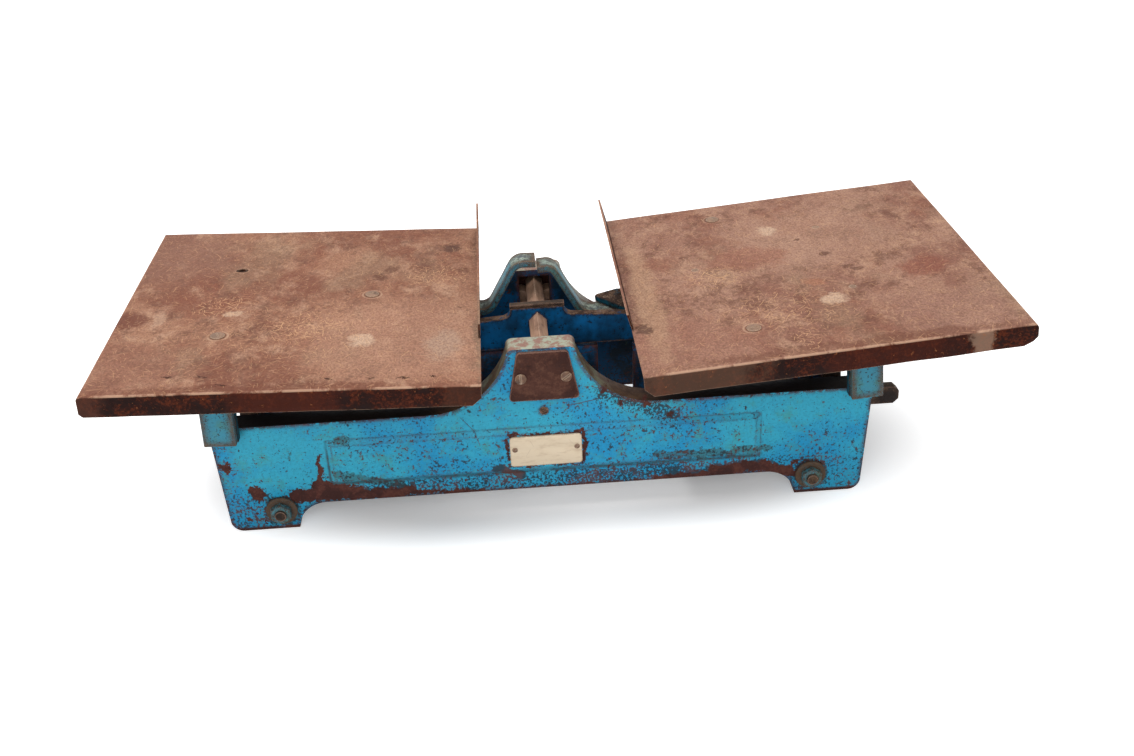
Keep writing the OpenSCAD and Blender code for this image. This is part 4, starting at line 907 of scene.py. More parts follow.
def softened(node: str, width: float, segments: int = 2, angle: float = 34.0) -> bpy.types.Mesh:
    """Copy of a node's mesh with its edges rounded.

    Args:
        node: the node's name.
        width: width of the rounding in millimetres.
        segments: faces across each rounding.
        angle: edges sharper than this many degrees are rounded.

    Returns:
        The new mesh.
    """
    bm = bmesh.new()
    bm.from_mesh(frame["nodes"][node].data)
    bmesh.ops.remove_doubles(bm, verts=bm.verts, dist=SAME_PLACE)
    bmesh.ops.dissolve_limit(bm, angle_limit=FLAT_ANGLE, verts=bm.verts, edges=bm.edges)
    sharp = [e for e in bm.edges if len(e.link_faces) == 2
             and abs(e.calc_face_angle(0.0)) > math.radians(angle)]
    bmesh.ops.bevel(bm, geom=sharp, offset=width * MM, offset_type="OFFSET", segments=segments,
                    profile=0.5, affect="EDGES", clamp_overlap=True)
    bmesh.ops.triangulate(bm, faces=[f for f in bm.faces if len(f.verts) > 4])
    mesh = bpy.data.meshes.new(node + "_soft")
    bm.to_mesh(mesh)
    bm.free()
    return mesh


def joint_place(name: str) -> Vector:
    """Place of one of the frame's joints, in metres."""
    return Vector(next(j for j in frame["joints"] if j["name"] == name)["pos_m"])


def sew(bm: bmesh.types.BMesh, columns: Sequence[Sequence[bmesh.types.BMVert]]) -> None:
    """Fills the mesh between neighbouring columns of vertices.

    Args:
        bm: the mesh being built.
        columns: rows of vertices, all of one length.
    """
    for a, b in zip(columns, columns[1:]):
        for k in range(len(a) - 1):
            bm.faces.new((a[k], b[k], b[k + 1], a[k + 1]))


@dataclass
class PanSheet:
    """One sheet pan with turned-down edges and an upturned flange, sizes in millimetres."""

    side: Side
    out: float
    height: float
    shift: float
    flange_near: float
    flange_far: float
    lean: float
    corner: float
    tilt: float
    holes: tuple[tuple[float, float], ...]
    length: float = 259.0
    depth: float = 270.5
    sheet: float = 1.6
    bend: float = 3.2
    apron: float = 15.5
    inner_cut: float = 6.0
    flange_start: float = 67.0
    hole_r: float = 2.8
    rim_wide: float = 2.9
    rim_tall: float = 0.8
    step: float = 6.0
    sag: float = 0.35
    edge_wave: float = 0.45

    def matrix(self) -> Matrix:
        """Place of the carrier's own axes in the frame, in metres.

        Returns:
            The matrix from the carrier's millimetres, mirrored on the left side.
        """
        turn = Matrix.Rotation(-self.side.value * math.radians(self.tilt), 4, "Y")
        flip = Matrix.Scale(self.side.value, 4, (1, 0, 0))
        place = Matrix.Translation(joint_place(self.side.word + "_carrier_swing"))
        return place @ turn @ flip @ Matrix.Scale(MM, 4)

    def bend_points(self) -> list[tuple[float, float]]:
        """Distance past the bend's start and drop, for each step round the bend."""
        return [(self.bend * math.sin(math.radians(a)), self.bend * (1 - math.cos(math.radians(a))))
                for a in (18, 36, 54, 72, 90)]

    def lines(self, low: float, high: float, both: bool, extra: float) -> list[tuple[float, float]]:
        """Grid lines from low to high with their drop, bent at the high end or at both.

        Args:
            low: one end.
            high: the other end.
            both: whether the low end is bent too.
            extra: place of one more line.

        Returns:
            Place and drop of each line, in order.
        """
        first = low + self.bend if both else low
        last = high - self.bend
        count = round((last - first) / self.step)
        flat = sorted({round(first + (last - first) * k / count, 4) for k in range(count + 1)} | {extra})
        rows = [(v, 0.0) for v in flat]
        rows += [(last + d, drop) for d, drop in self.bend_points()]
        if both:
            rows = [(first - d, drop) for d, drop in reversed(self.bend_points())] + rows
        return rows

    def wave(self, x: float, y: float) -> float:
        """Small unevenness of the sheet at a place."""
        seed = 7.0 * self.side.value
        return self.sag * noise.noise(Vector((x / 62, y / 70, seed)))

    def mesh(self) -> bpy.types.Mesh:
        """The whole pan, in metres of the frame.

        Returns:
            A new mesh with its thickness, holes and soft edges.
        """
        half = self.depth / 2
        start = -half + self.flange_start
        xs = self.lines(-self.length, 0, False, -self.length + self.sheet)
        ys = self.lines(-half, half, True, start)
        bm = bmesh.new()
        grid = {}
        for i, (x, drop_x) in enumerate(xs):
            for j, (y, drop_y) in enumerate(ys):
                z = -max(drop_x, drop_y) + self.wave(x, y)
                grid[i, j] = bm.verts.new((x, y, z))
        for i in range(len(xs) - 1):
            for j in range(len(ys) - 1):
                if i == 0 and ys[j][0] >= start - 1e-3:
                    continue
                bm.faces.new((grid[i, j], grid[i + 1, j], grid[i + 1, j + 1], grid[i, j + 1]))
        self.add_aprons(bm, grid, xs, ys, half)
        self.add_flange(bm, grid, ys, start, half)
        bmesh.ops.recalc_face_normals(bm, faces=bm.faces)
        if sum(f.normal.z for f in bm.faces if abs(f.normal.z) > 0.9) < 0:
            bmesh.ops.reverse_faces(bm, faces=bm.faces)
        bm.transform(Matrix.Translation((self.out, self.shift, self.height)))
        mesh = bpy.data.meshes.new(self.side.word + "_pan_sheet")
        bm.to_mesh(mesh)
        bm.free()
        return self.thicken(mesh)

    def bottom(self, x: float, y: float, end: bool) -> float:
        """Lower edge of the turned-down side at a place, on the outer end or along a side.

        Args:
            x: place outwards.
            y: place across.
            end: whether the place is on the outer end.

        Returns:
            The edge's height below the top.
        """
        wave = self.edge_wave * noise.noise(Vector((x / 30, y / 30, 11.0 + self.side.value)))
        low = -self.apron + wave
        if end:
            over = abs(y) - (self.depth / 2 - 10)
            return low + self.corner * min(1.0, max(0.0, over / 2 + 0.5))
        if x > -self.corner:
            low = max(low, -self.apron + self.corner + x)
        if x < -self.length + self.inner_cut:
            low = max(low, -self.apron + (-self.length + self.inner_cut - x))
        return low

    def add_aprons(self, bm: bmesh.types.BMesh, grid: dict, xs: list, ys: list, half: float) -> None:
        """Hangs the three turned-down sides on the grid.

        Args:
            bm: the mesh being built.
            grid: the top's vertices by line numbers.
            xs: lines across.
            ys: lines along.
            half: half the pan's depth.
        """
        rows = 3
        last = len(xs) - 1
        chains = [([grid[i, j] for i in range(len(xs))], False) for j in (0, len(ys) - 1)]
        chains.append(([grid[last, j] for j in range(len(ys))], True))
        corners = {}
        for chain, end in chains:
            columns = []
            for top in chain:
                x, y, z = top.co
                is_corner = x > -1e-6 and abs(y) > half - 1e-6
                key = (round(x, 3), round(y, 3))
                if is_corner and key in corners:
                    columns.append(corners[key])
                    continue
                low = self.bottom(x, y, end and not is_corner)
                column = [top] + [bm.verts.new((x, y, z + (low - z) * k / rows)) for k in range(1, rows + 1)]
                if is_corner:
                    corners[key] = column
                columns.append(column)
            sew(bm, columns)

    def add_flange(self, bm: bmesh.types.BMesh, grid: dict, ys: list, start: float, half: float) -> None:
        """Turns the inner edge up, from its low near end to its high far end.

        Args:
            bm: the mesh being built.
            grid: the top's vertices by line numbers.
            ys: lines along.
            start: the flange's near end.
            half: half the pan's depth.
        """
        rows = 3
        lean = math.radians(self.lean)
        columns = []
        for j, (y, _) in enumerate(ys):
            if y < start - 1e-3:
                continue
            foot = grid[1, j]
            share = (y - start) / (half - start)
            tall = self.flange_near + (self.flange_far - self.flange_near) * share
            tall += self.edge_wave * 0.6 * noise.noise(Vector((y / 14, 3.0, self.side.value)))
            x, _, z = foot.co
            steps = [k / rows for k in range(1, rows + 1)]
            columns.append([foot] + [
                bm.verts.new((x - tall * s * math.sin(lean), y, z + (tall - z) * s * math.cos(lean)))
                for s in steps])
        sew(bm, columns)

    def hole_rim(self) -> bpy.types.Mesh:
        """Raised rim round the first hole, in metres of the frame.

        Returns:
            A new mesh.
        """
        inner, outer, tall, sunk = self.hole_r, self.hole_r + self.rim_wide, self.rim_tall, -0.5
        outline = ((inner, sunk), (inner, tall * 0.6), (inner + 0.4, tall), (inner + 1.1, tall),
                   (inner + 2.1, tall * 0.55), (outer, 0.1), (outer, sunk))
        steps = 48
        bm = bmesh.new()
        turn = math.tau / steps
        rings = [[bm.verts.new((r * math.cos(turn * k), r * math.sin(turn * k), z)) for r, z in outline]
                 for k in range(steps)]
        sew(bm, [ring + ring[:1] for ring in rings + rings[:1]])
        x, y = self.holes[0]
        bm.transform(self.matrix() @ Matrix.Translation((x, y, self.height)))
        mesh = bpy.data.meshes.new(self.side.word + "_hole_rim")
        bm.to_mesh(mesh)
        bm.free()
        return outward(mesh)

    def thicken(self, mesh: bpy.types.Mesh) -> bpy.types.Mesh:
        """Gives the sheet its thickness, its holes and soft edges, and puts it in its place.

        Args:
            mesh: the bare sheet, in the carrier's millimetres.

        Returns:
            A new mesh, in metres of the frame.
        """
        piece = bpy.data.objects.new("pan_work", mesh)
        bpy.context.scene.collection.objects.link(piece)
        solid = piece.modifiers.new("sheet", "SOLIDIFY")
        solid.thickness = self.sheet
        solid.offset = -1
        solid.use_even_offset = True
        cutters = []
        for x, y in self.holes:
            cutter = hole_cutter(x, y, self.height, self.hole_r)
            cut = piece.modifiers.new("hole", "BOOLEAN")
            cut.operation = "DIFFERENCE"
            cut.solver = "EXACT"
            cut.object = cutter
            cutters.append(cutter)
        soft = piece.modifiers.new("soft", "BEVEL")
        soft.width = 0.4
        soft.segments = 2
        soft.limit_method = "ANGLE"
        soft.angle_limit = math.radians(50)
        made = baked(piece)
        for old in (piece, *cutters):
            bpy.data.objects.remove(old)
        made.transform(self.matrix())
        return outward(made)


def hole_cutter(x: float, y: float, z: float, radius: float) -> bpy.types.Object:
    """A short upright cylinder that cuts a hole, in the carrier's millimetres.

    Args:
        x: place outwards.
        y: place across.
        z: height of its middle.
        radius: radius of the hole.

    Returns:
        The new object, linked to the scene.
    """
    bm = bmesh.new()
    bmesh.ops.create_cone(bm, cap_ends=True, segments=40, radius1=radius, radius2=radius, depth=12,
                          matrix=Matrix.Translation((x, y, z)))
    mesh = bpy.data.meshes.new("hole_cutter")
    bm.to_mesh(mesh)
    bm.free()
    cutter = bpy.data.objects.new("hole_cutter", mesh)
    bpy.context.scene.collection.objects.link(cutter)
    return cutter


def outward(mesh: bpy.types.Mesh) -> bpy.types.Mesh:
    """Turns a closed mesh inside out where its faces point inwards.

    Args:
        mesh: the mesh, changed in place.

    Returns:
        The same mesh.
    """
    bm = bmesh.new()
    bm.from_mesh(mesh)
    if bm.calc_volume(signed=True) < 0:
        bmesh.ops.reverse_faces(bm, faces=bm.faces)
        bm.to_mesh(mesh)
    bm.free()
    return mesh


def baked(piece: bpy.types.Object) -> bpy.types.Mesh:
    """Plain mesh of a piece with its modifiers worked out.

    Args:
        piece: an object in the scene.

    Returns:
        A new mesh.
    """
    graph = bpy.context.evaluated_depsgraph_get()
    graph.update()
    return bpy.data.meshes.new_from_object(piece.evaluated_get(graph), depsgraph=graph)


@dataclass(frozen=True)
class HeadSize:
    """Sizes of one kind of round head, in millimetres."""

    head_radius: float
    head_height: float
    shank_radius: float
    shank_length: float
    slot_width: float
    slot_depth: float


class HeadTree:
    """Geometry node tree that turns points into round heads with shanks, slotted or plain."""

    def __init__(self) -> None:
        """Builds the tree and its named inputs."""
        tree = bpy.data.node_groups.new("round heads", "GeometryNodeTree")
        tree.interface.new_socket("Geometry", in_out="INPUT", socket_type="NodeSocketGeometry")
        for size in fields(HeadSize):
            tree.interface.new_socket(size.name, in_out="INPUT", socket_type="NodeSocketFloat")
        tree.interface.new_socket("Material", in_out="INPUT", socket_type="NodeSocketMaterial")
        tree.interface.new_socket("Geometry", in_out="OUTPUT", socket_type="NodeSocketGeometry")
        self.tree = tree
        g = Graph(tree)
        entry = g.add("NodeGroupInput").outputs
        profile = self.profile(g, entry)
        ring = g.add("GeometryNodeCurvePrimitiveCircle", {"Resolution": 40, "Radius": 1e-5})
        head = g.add("GeometryNodeCurveToMesh", {"Curve": ring.outputs[0], "Profile Curve": profile})
        merged = g.add("GeometryNodeMergeByDistance", {"Geometry": head.outputs[0], "Distance": 3e-5})
        long_side = g.math("MULTIPLY", entry["head_radius"], 3.0)
        size = g.add("ShaderNodeCombineXYZ", {0: long_side, 1: entry["slot_width"],
                                              2: g.math("MULTIPLY", entry["slot_depth"], 2.0)})
        cube = g.add("GeometryNodeMeshCube", {"Size": size.outputs[0]})
        top = g.add("ShaderNodeCombineXYZ", {2: entry["head_height"]})
        lifted = g.add("GeometryNodeTransform", {"Geometry": cube.outputs[0], "Translation": top.outputs[0]})
        cut = g.add("GeometryNodeMeshBoolean", {0: merged.outputs[0], 1: lifted.outputs[0]},
                    operation="DIFFERENCE", solver="EXACT")
        turn = g.add("GeometryNodeInputNamedAttribute", {"Name": "turn"}, data_type="FLOAT_VECTOR")
        placed = g.add("GeometryNodeInstanceOnPoints", {"Points": entry["Geometry"],
                                                        "Instance": cut.outputs[0],
                                                        "Rotation": turn.outputs["Attribute"]})
        real = g.add("GeometryNodeRealizeInstances", {0: placed.outputs[0]})
        dressed = g.add("GeometryNodeSetMaterial", {"Geometry": real.outputs[0],
                                                    "Material": entry["Material"]})
        leave = g.add("NodeGroupOutput")
        tree.links.new(dressed.outputs[0], leave.inputs[0])

    @staticmethod
    def profile(g: Graph, entry: object) -> Socket:
        """Half outline of a head on its shank, from the shank's end to the crown.

        Args:
            g: graph of the tree.
            entry: the tree's inputs.

        Returns:
            The outline as a curve.
        """
        points = g.add("GeometryNodeMeshLine", {"Count": 11}, mode="OFFSET")
        index = g.add("GeometryNodeInputIndex").outputs[0]
        radius, height = entry["head_radius"], entry["head_height"]
        shank = entry["shank_radius"]
        x_sum: object = 0.0
        z_sum: object = 0.0
        spots: list[tuple[object, object]] = [
            (0.0, g.math("MULTIPLY", entry["shank_length"], -1.0)),
            (shank, g.math("MULTIPLY", entry["shank_length"], -1.0)),
            (shank, 0.0),
            (radius, 0.0),
            (radius, g.math("MULTIPLY", height, 0.35)),
        ]
        for angle in (20, 38, 55, 70, 82, 90):
            a = math.radians(angle)
            spots.append((g.math("MULTIPLY", radius, math.cos(a) if angle < 90 else 0.0),
                          g.math("MULTIPLY", height, 0.35 + 0.65 * math.sin(a))))
        for k, (x, z) in enumerate(spots):
            is_k = g.add("FunctionNodeCompare", {2: index, 3: k}, data_type="INT", operation="EQUAL")
            x_sum = g.math("ADD", x_sum, g.math("MULTIPLY", is_k.outputs[0], x))
            z_sum = g.math("ADD", z_sum, g.math("MULTIPLY", is_k.outputs[0], z))
        place = g.add("ShaderNodeCombineXYZ", {0: x_sum, 1: g.math("MULTIPLY", z_sum, -1.0)})
        moved = g.add("GeometryNodeSetPosition", {"Geometry": points.outputs[0],
                                                  "Position": place.outputs[0]})
        return g.add("GeometryNodeMeshToCurve", {0: moved.outputs[0]}).outputs[0]

    def make(self, spots: Sequence[tuple[Vector, Vector, float]], sizes: HeadSize,
             material: bpy.types.Material) -> bpy.types.Mesh:
        """Heads at several places.

        Args:
            spots: place in metres, direction that the head faces, and turn of its slot in degrees.
            sizes: the heads' sizes.
            material: the heads' material.

        Returns:
            One plain mesh.
        """
        mesh = bpy.data.meshes.new("head_points")
        mesh.from_pydata([tuple(p) for p, _, _ in spots], [], [])
        turns = mesh.attributes.new("turn", "FLOAT_VECTOR", "POINT")
        for k, (_, facing, turn) in enumerate(spots):
            spin = Matrix.Rotation(math.radians(turn), 3, "Z")
            turns.data[k].vector = (facing.to_track_quat("Z", "Y").to_matrix() @ spin).to_euler()
        piece = bpy.data.objects.new("head_points", mesh)
        bpy.context.scene.collection.objects.link(piece)
        modifier = piece.modifiers.new("heads", "NODES")
        modifier.node_group = self.tree
        for item in self.tree.interface.items_tree:
            if item.item_type != "SOCKET" or item.in_out != "INPUT" or item.name == "Geometry":
                continue
            is_size = item.name != "Material"
            modifier[item.identifier] = getattr(sizes, item.name) * MM if is_size else material
        made = baked(piece)
        bpy.data.objects.remove(piece)
        bm = bmesh.new()
        bm.from_mesh(made)
        bmesh.ops.recalc_face_normals(bm, faces=bm.faces)
        bm.to_mesh(made)
        bm.free()
        return made


@dataclass
class Assembly:
    """A group of the scale's pieces, with each node's finish, and body and rounding in millimetres."""

    shop: "Workshop"
    finish_of: ClassVar[dict[str, str]] = {}
    soft_edges: ClassVar[dict[str, tuple[str, float]]] = {}

    def build(self) -> None:
        """Dresses the nodes and rounds what shows."""
        self.shop.dress(self.finish_of)
        for node, (body, width) in self.soft_edges.items():
            self.shop.soften(node, width, body, self.finish_of[node])


@dataclass
class Housing(Assembly):
    """The casting with its covers, plate, screws, rods and bearings, sizes in millimetres."""

    cover_screw_height: float = 114
    cover_screw_apart: float = 16
    set_screw_reach: float = 75
    cover_heads: HeadSize = HeadSize(4, 1.3, 1.9, 8, 1.1, 0.8)
    set_heads: HeadSize = HeadSize(3.2, 0.9, 2.4, 5, 0.9, 0.5)
    pin_heads: HeadSize = HeadSize(2, 0.8, 0.85, 3, 0.5, 0.35)
    soft_edges = {node: ("housing", width) for node, width in {
        "base_casting": 1.3, "front_bearing_cover": 0.6, "rear_bearing_cover": 0.6, "name_plate": 0.3,
        "tie_rod_washers": 0.5, "tie_rod_nuts": 0.7, "front_bearing_block": 0.4,
        "rear_bearing_block": 0.4}.items()}
    finish_of = {
        "base_casting": "cast_paint", "front_bearing_block": "worn_steel",
        "rear_bearing_block": "worn_steel", "front_bearing_cover": "rusty_plate",
        "rear_bearing_cover": "rusty_plate", "name_plate": "aged_plate",
        "left_tie_rod": "rusty_iron", "right_tie_rod": "rusty_iron", "tie_rod_washers": "washer_paint",
        "tie_rod_nuts": "nut_paint", "check_link_pivot": "screw_heads",
        "lock_pivot_pin": "screw_heads"}

    def build(self) -> None:
        """Adds the screws' heads to the dressed nodes."""
        super().build()
        fulcrum = joint_place("beam_tilt").x
        covers = ((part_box("front_bearing_cover")[0].y, -1), (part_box("rear_bearing_cover")[1].y, 1))
        apart, height = self.cover_screw_apart * MM, self.cover_screw_height * MM
        spots = [(Vector((fulcrum + x * apart, y, height)), Vector((0, s, 0)), turn)
                 for y, s in covers for x, turn in ((-1, 90), (1, 35))]
        self.shop.heads(spots, self.cover_heads, "cover_screw_heads", "housing", "screw_heads",
                        ["bearing_cover_screws"])
        low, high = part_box("bearing_set_screws")
        reach = self.set_screw_reach * MM
        spots = [(Vector(((low.x + high.x) / 2, s * reach, (low.z + high.z) / 2)), Vector((0, s, 0)), 20)
                 for s in (-1, 1)]
        self.shop.heads(spots, self.set_heads, "set_screw_heads", "housing", "rusty_iron",
                        ["bearing_set_screws"])
        low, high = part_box("name_plate_pins")
        radius = self.pin_heads.head_radius * MM
        spots = [(Vector((x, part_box("name_plate")[0].y, (low.z + high.z) / 2)), Vector((0, -1, 0)), turn)
                 for x, turn in ((low.x + radius, 15), (high.x - radius, 60))]
        self.shop.heads(spots, self.pin_heads, "plate_pin_heads", "housing", "screw_heads",
                        ["name_plate_pins"])


@dataclass
class Beam(Assembly):
    """The beam with its shafts, cap and tare screw, and the link and lever that go with it."""

    finish_of = {
        "beam_bar": "dark_paint", "beam_cap_plate": "cap_plate", "fulcrum_shaft": "worn_steel",
        "left_end_shaft": "worn_steel", "right_end_shaft": "worn_steel",
        "shaft_lock_pins": "screw_heads", "tare_screw": "rusty_iron", "tare_nut": "rusty_iron",
        "check_link": "rusty_iron", "lock_lever": "lever_iron", "lock_finger": "rusty_iron"}
    soft_edges = {"beam_bar": ("beam", 0.8), "beam_cap_plate": ("beam", 0.5),
                  "fulcrum_shaft": ("beam", 0.5), "left_end_shaft": ("beam", 0.4),
                  "right_end_shaft": ("beam", 0.4), "tare_nut": ("tare_nut", 0.4),
                  "check_link": ("check_link", 0.6), "lock_lever": ("lock_lever", 0.9)}


@dataclass
class Carrier(Assembly):
    """One carrier with its pan, pointer, stem and plates, sizes in millimetres."""

    pan: PanSheet
    left_heads: tuple[tuple[float, float], ...] = ((0, -50), (-103, 12))
    left_shank: float = 14
    right_heads: tuple[tuple[float, float], ...] = ((-75, 102), (-79, -92))
    right_shank: float = 4
    widths = {"carrier_frame": 1.0, "leg_plates": 0.9, "pointer": 0.7, "saddles": 0.4, "stem": 0.6}
    finishes = {
        "carrier_frame": "carrier_paint", "saddles": "worn_steel", "leg_plates": "plate_paint",
        "stem": "rusty_iron", "stem_rivets": "screw_heads", "link_pin": "screw_heads",
        "pointer": "pointer_paint", "pointer_screws": "rusty_iron"}

    def __post_init__(self) -> None:
        """Names the carrier's body and its nodes' finishes and roundings."""
        self.word = self.pan.side.word
        self.body = self.word + "_carrier"
        self.finish_of = {f"{self.word}_{part}": name for part, name in self.finishes.items()}
        self.soft_edges = {f"{self.word}_{part}": (self.body, width) for part, width in self.widths.items()}

    def build(self) -> None:
        """Adds the sheet and the rivets' heads to the dressed nodes."""
        super().build()
        finish = self.shop.finish(self.word + "_pan")
        place_mesh(self.pan.mesh(), self.word + "_pan_sheet", self.body, finish,
                   [self.word + "_pan"], smooth=40)
        if self.pan.side is Side.LEFT:
            place_mesh(self.pan.hole_rim(), "left_pan_hole_rim", self.body, finish)
        self.add_heads()

    def add_heads(self) -> None:
        """Puts the low round heads on the pan."""
        if self.pan.side is Side.LEFT:
            places, shank = self.left_heads, self.left_shank
        else:
            places, shank = self.right_heads, self.right_shank
        matrix = self.pan.matrix()
        up = (matrix.to_3x3() @ Vector((0, 0, 1))).normalized()
        spots = [(matrix @ Vector((x, y, self.pan.height)), up, 25 + 70 * k)
                 for k, (x, y) in enumerate(places)]
        self.shop.heads(spots, HeadSize(5, 1.1, 2.6, shank, 0.8, 0.3), self.word + "_pan_heads", self.body,
                        "pan_heads", [self.word + "_pan_rivets"])
        if self.pan.side is Side.RIGHT:
            self.shop.dress({"right_pan_screws": "pan_heads", "right_pan_stiffener": "rusty_iron"})


class Workshop:
    """Holds the finishes and puts them on nodes and new pieces."""

    def __init__(self, finishes: dict[str, Finish]) -> None:
        """Builds the shared effects; materials follow when they are first asked for.

        Args:
            finishes: name to finish.
        """
        self.effects = Effects()
        self.finishes = finishes
        self.made: dict[str, bpy.types.Material] = {}
        self.head_tree = HeadTree()

    def finish(self, name: str) -> bpy.types.Material:
        """The material of a finish.

        Args:
            name: the finish's name.

        Returns:
            The material, made when it is first asked for.
        """
        if name not in self.made:
            self.made[name] = self.finishes[name].build(self.effects)
        return self.made[name]

    def dress(self, finish_of: dict[str, str]) -> None:
        """Gives each named node its finish.

        Args:
            finish_of: node name to finish name.
        """
        for node, name in finish_of.items():
            mesh = frame["nodes"][node].data
            mesh.materials.clear()
            mesh.materials.append(self.finish(name))
            log.info("%s has finish %s", node, name)

    def soften(self, node: str, width: float, body: str, name: str) -> None:
        """Stands a copy with rounded edges in for a node.

        Args:
            node: the node's name.
            width: width of the rounding in millimetres.
            body: the body it rides on.
            name: the finish's name.
        """
        place_mesh(softened(node, width), node + "_soft", body, self.finish(name),
                   [node])

    def heads(self, spots: Sequence[tuple[Vector, Vector, float]], sizes: HeadSize, name: str,
              body: str, finish: str, replaced: Sequence[str]) -> None:
        """Adds round heads as one piece on one body.

        Args:
            spots: place, direction and turn of each head.
            sizes: the heads' sizes.
            name: the piece's name.
            body: the body it rides on.
            finish: the finish's name.
            replaced: nodes it stands for.
        """
        mesh = self.head_tree.make(spots, sizes, self.finish(finish))
        place_mesh(mesh, name, body, self.finish(finish), replaced, smooth=50)


@dataclass
class Studio:
    """Floor, light and camera."""

    lens: float = 39.84
    place: tuple[float, float, float] = (-0.02998, -0.8434, 0.5426)
    yaw: float = 2.68
    pitch: float = 29.28
    roll: float = 2.42
    sensor: float = 36
    aim_height: float = 0.08
    floor_half: float = 30
    floor_drop: float = 0.0002
    # Reach of the painted shadow on the floor round the scale, in metres along and across.
    shade: tuple[float, float] = (0.3, 0.13)
    lamps: tuple[tuple[str, tuple[float, float, float], float, float], ...] = (
        ("over", (-0.3, 0.1, 1.5), 1.6, 22.0), ("front", (-0.3, -1.9, 0.9), 1.6, 18.0),
        ("right", (1.6, -0.4, 0.9), 1.2, 5.0))

    def build(self) -> None:
        """Makes the stage in order."""
        self.camera()
        self.floor()
        self.world()
        for name, place, size, power in self.lamps:
            self.lamp(name, Vector(place), size, power)

    def camera(self) -> None:
        """Camera at the photograph's place and angle."""
        yaw, pitch, roll = (math.radians(v) for v in (self.yaw, self.pitch, self.roll))
        ahead = Vector((math.sin(yaw) * math.cos(pitch), math.cos(yaw) * math.cos(pitch), -math.sin(pitch)))
        level = Vector((math.cos(yaw), -math.sin(yaw), 0))
        upright = level.cross(ahead)
        right = math.cos(roll) * level - math.sin(roll) * upright
        up = math.sin(roll) * level + math.cos(roll) * upright
        data = bpy.data.cameras.new("camera")
        data.lens = self.lens
        data.sensor_width = self.sensor
        data.sensor_fit = "HORIZONTAL"
        camera = bpy.data.objects.new("camera", data)
        turn = Matrix((right, up, -ahead)).transposed().to_4x4()
        camera.matrix_world = Matrix.Translation(self.place) @ turn
        bpy.context.scene.collection.objects.link(camera)
        bpy.context.scene.camera = camera

    @staticmethod
    def seen(g: Graph) -> Socket:
        """1 for rays from the camera, also by way of a reflection or through glass."""
        path = g.add("ShaderNodeLightPath").outputs
        return g.most(path["Is Camera Ray"], path["Is Glossy Ray"], path["Is Transmission Ray"])

    def floor(self) -> None:
        """Wide pale floor that keeps the shadow, its glow turned down near the scale as a painted shadow."""
        bm = bmesh.new()
        bmesh.ops.create_grid(bm, x_segments=1, y_segments=1, size=self.floor_half)
        mesh = bpy.data.meshes.new("floor")
        bm.to_mesh(mesh)
        bm.free()
        floor = bpy.data.objects.new("floor", mesh)
        floor.location.z = -self.floor_drop
        bpy.context.scene.collection.objects.link(floor)
        material = bpy.data.materials.new("floor")
        material.use_nodes = True
        tree = material.node_tree
        tree.nodes.clear()
        g = Graph(tree)
        place = g.add("ShaderNodeTexCoord").outputs["Object"]
        place = g.moved(place, scale=(1 / self.shade[0], 1 / self.shade[1], 0))
        reach = g.vec("LENGTH", place)
        plain = g.add("ShaderNodeBsdfDiffuse", {"Color": (0.86, 0.86, 0.86, 1)})
        # Painted shadow: the floor's glow is turned down near the scale, so its shadow reads darker.
        strength = g.ramp(reach, 0.66, 1.16, 0.2, 0.85)
        glow_and_painted_shadow = g.add("ShaderNodeEmission", {"Color": (1, 1, 1, 1), "Strength": strength})
        seen = self.seen(g)
        none = g.add("ShaderNodeEmission", {"Strength": 0.0})
        lit = g.add("ShaderNodeMixShader", {0: seen, 1: none.outputs[0], 2: glow_and_painted_shadow.outputs[0]})
        both = g.add("ShaderNodeAddShader", {0: plain.outputs[0], 1: lit.outputs[0]})
        out = g.add("ShaderNodeOutputMaterial")
        tree.links.new(both.outputs[0], out.inputs[0])
        mesh.materials.append(material)

    def world(self) -> None:
        """Even pale surroundings, white where the camera or a reflection sees them."""
        world = bpy.data.worlds.new("studio")
        world.use_nodes = True
        tree = world.node_tree
        tree.nodes.clear()
        g = Graph(tree)
        seen = self.seen(g)
        soft = g.add("ShaderNodeBackground", {"Color": (1, 1, 1, 1), "Strength": 0.3})
        white = g.add("ShaderNodeBackground", {"Color": (1, 1, 1, 1), "Strength": 1.0})
        both = g.add("ShaderNodeMixShader", {0: seen, 1: soft.outputs[0], 2: white.outputs[0]})
        out = g.add("ShaderNodeOutputWorld")
        tree.links.new(both.outputs[0], out.inputs[0])
        bpy.context.scene.world = world
        bpy.context.scene.view_settings.view_transform = "Standard"

    def lamp(self, name: str, place: Vector, size: float, power: float) -> None:
        """Soft square lamp aimed at the scale.

        Args:
            name: the lamp's name.
            place: where it stands, in metres.
            size: its width in metres.
            power: its power in watts.
        """
        data = bpy.data.lights.new(name, "AREA")
        data.size = size
        data.energy = power
        lamp = bpy.data.objects.new(name, data)
        lamp.location = place
        lamp.rotation_mode = "QUATERNION"
        lamp.rotation_quaternion = (Vector((0, 0, self.aim_height)) - place).to_track_quat("-Z", "Y")
        bpy.context.scene.collection.objects.link(lamp)


def zones(*rows: Sequence[float]) -> tuple[Zone, ...]:
    """Zones from rows of the centre's two places, two reaches, screen colour and strength."""
    return tuple(Zone(row[:2], row[2:4], srgb(*row[4:7]), row[7]) for row in rows)


BLACK_NICK = (58, 34, 26)
PALE_SPOT = (208, 176, 150)

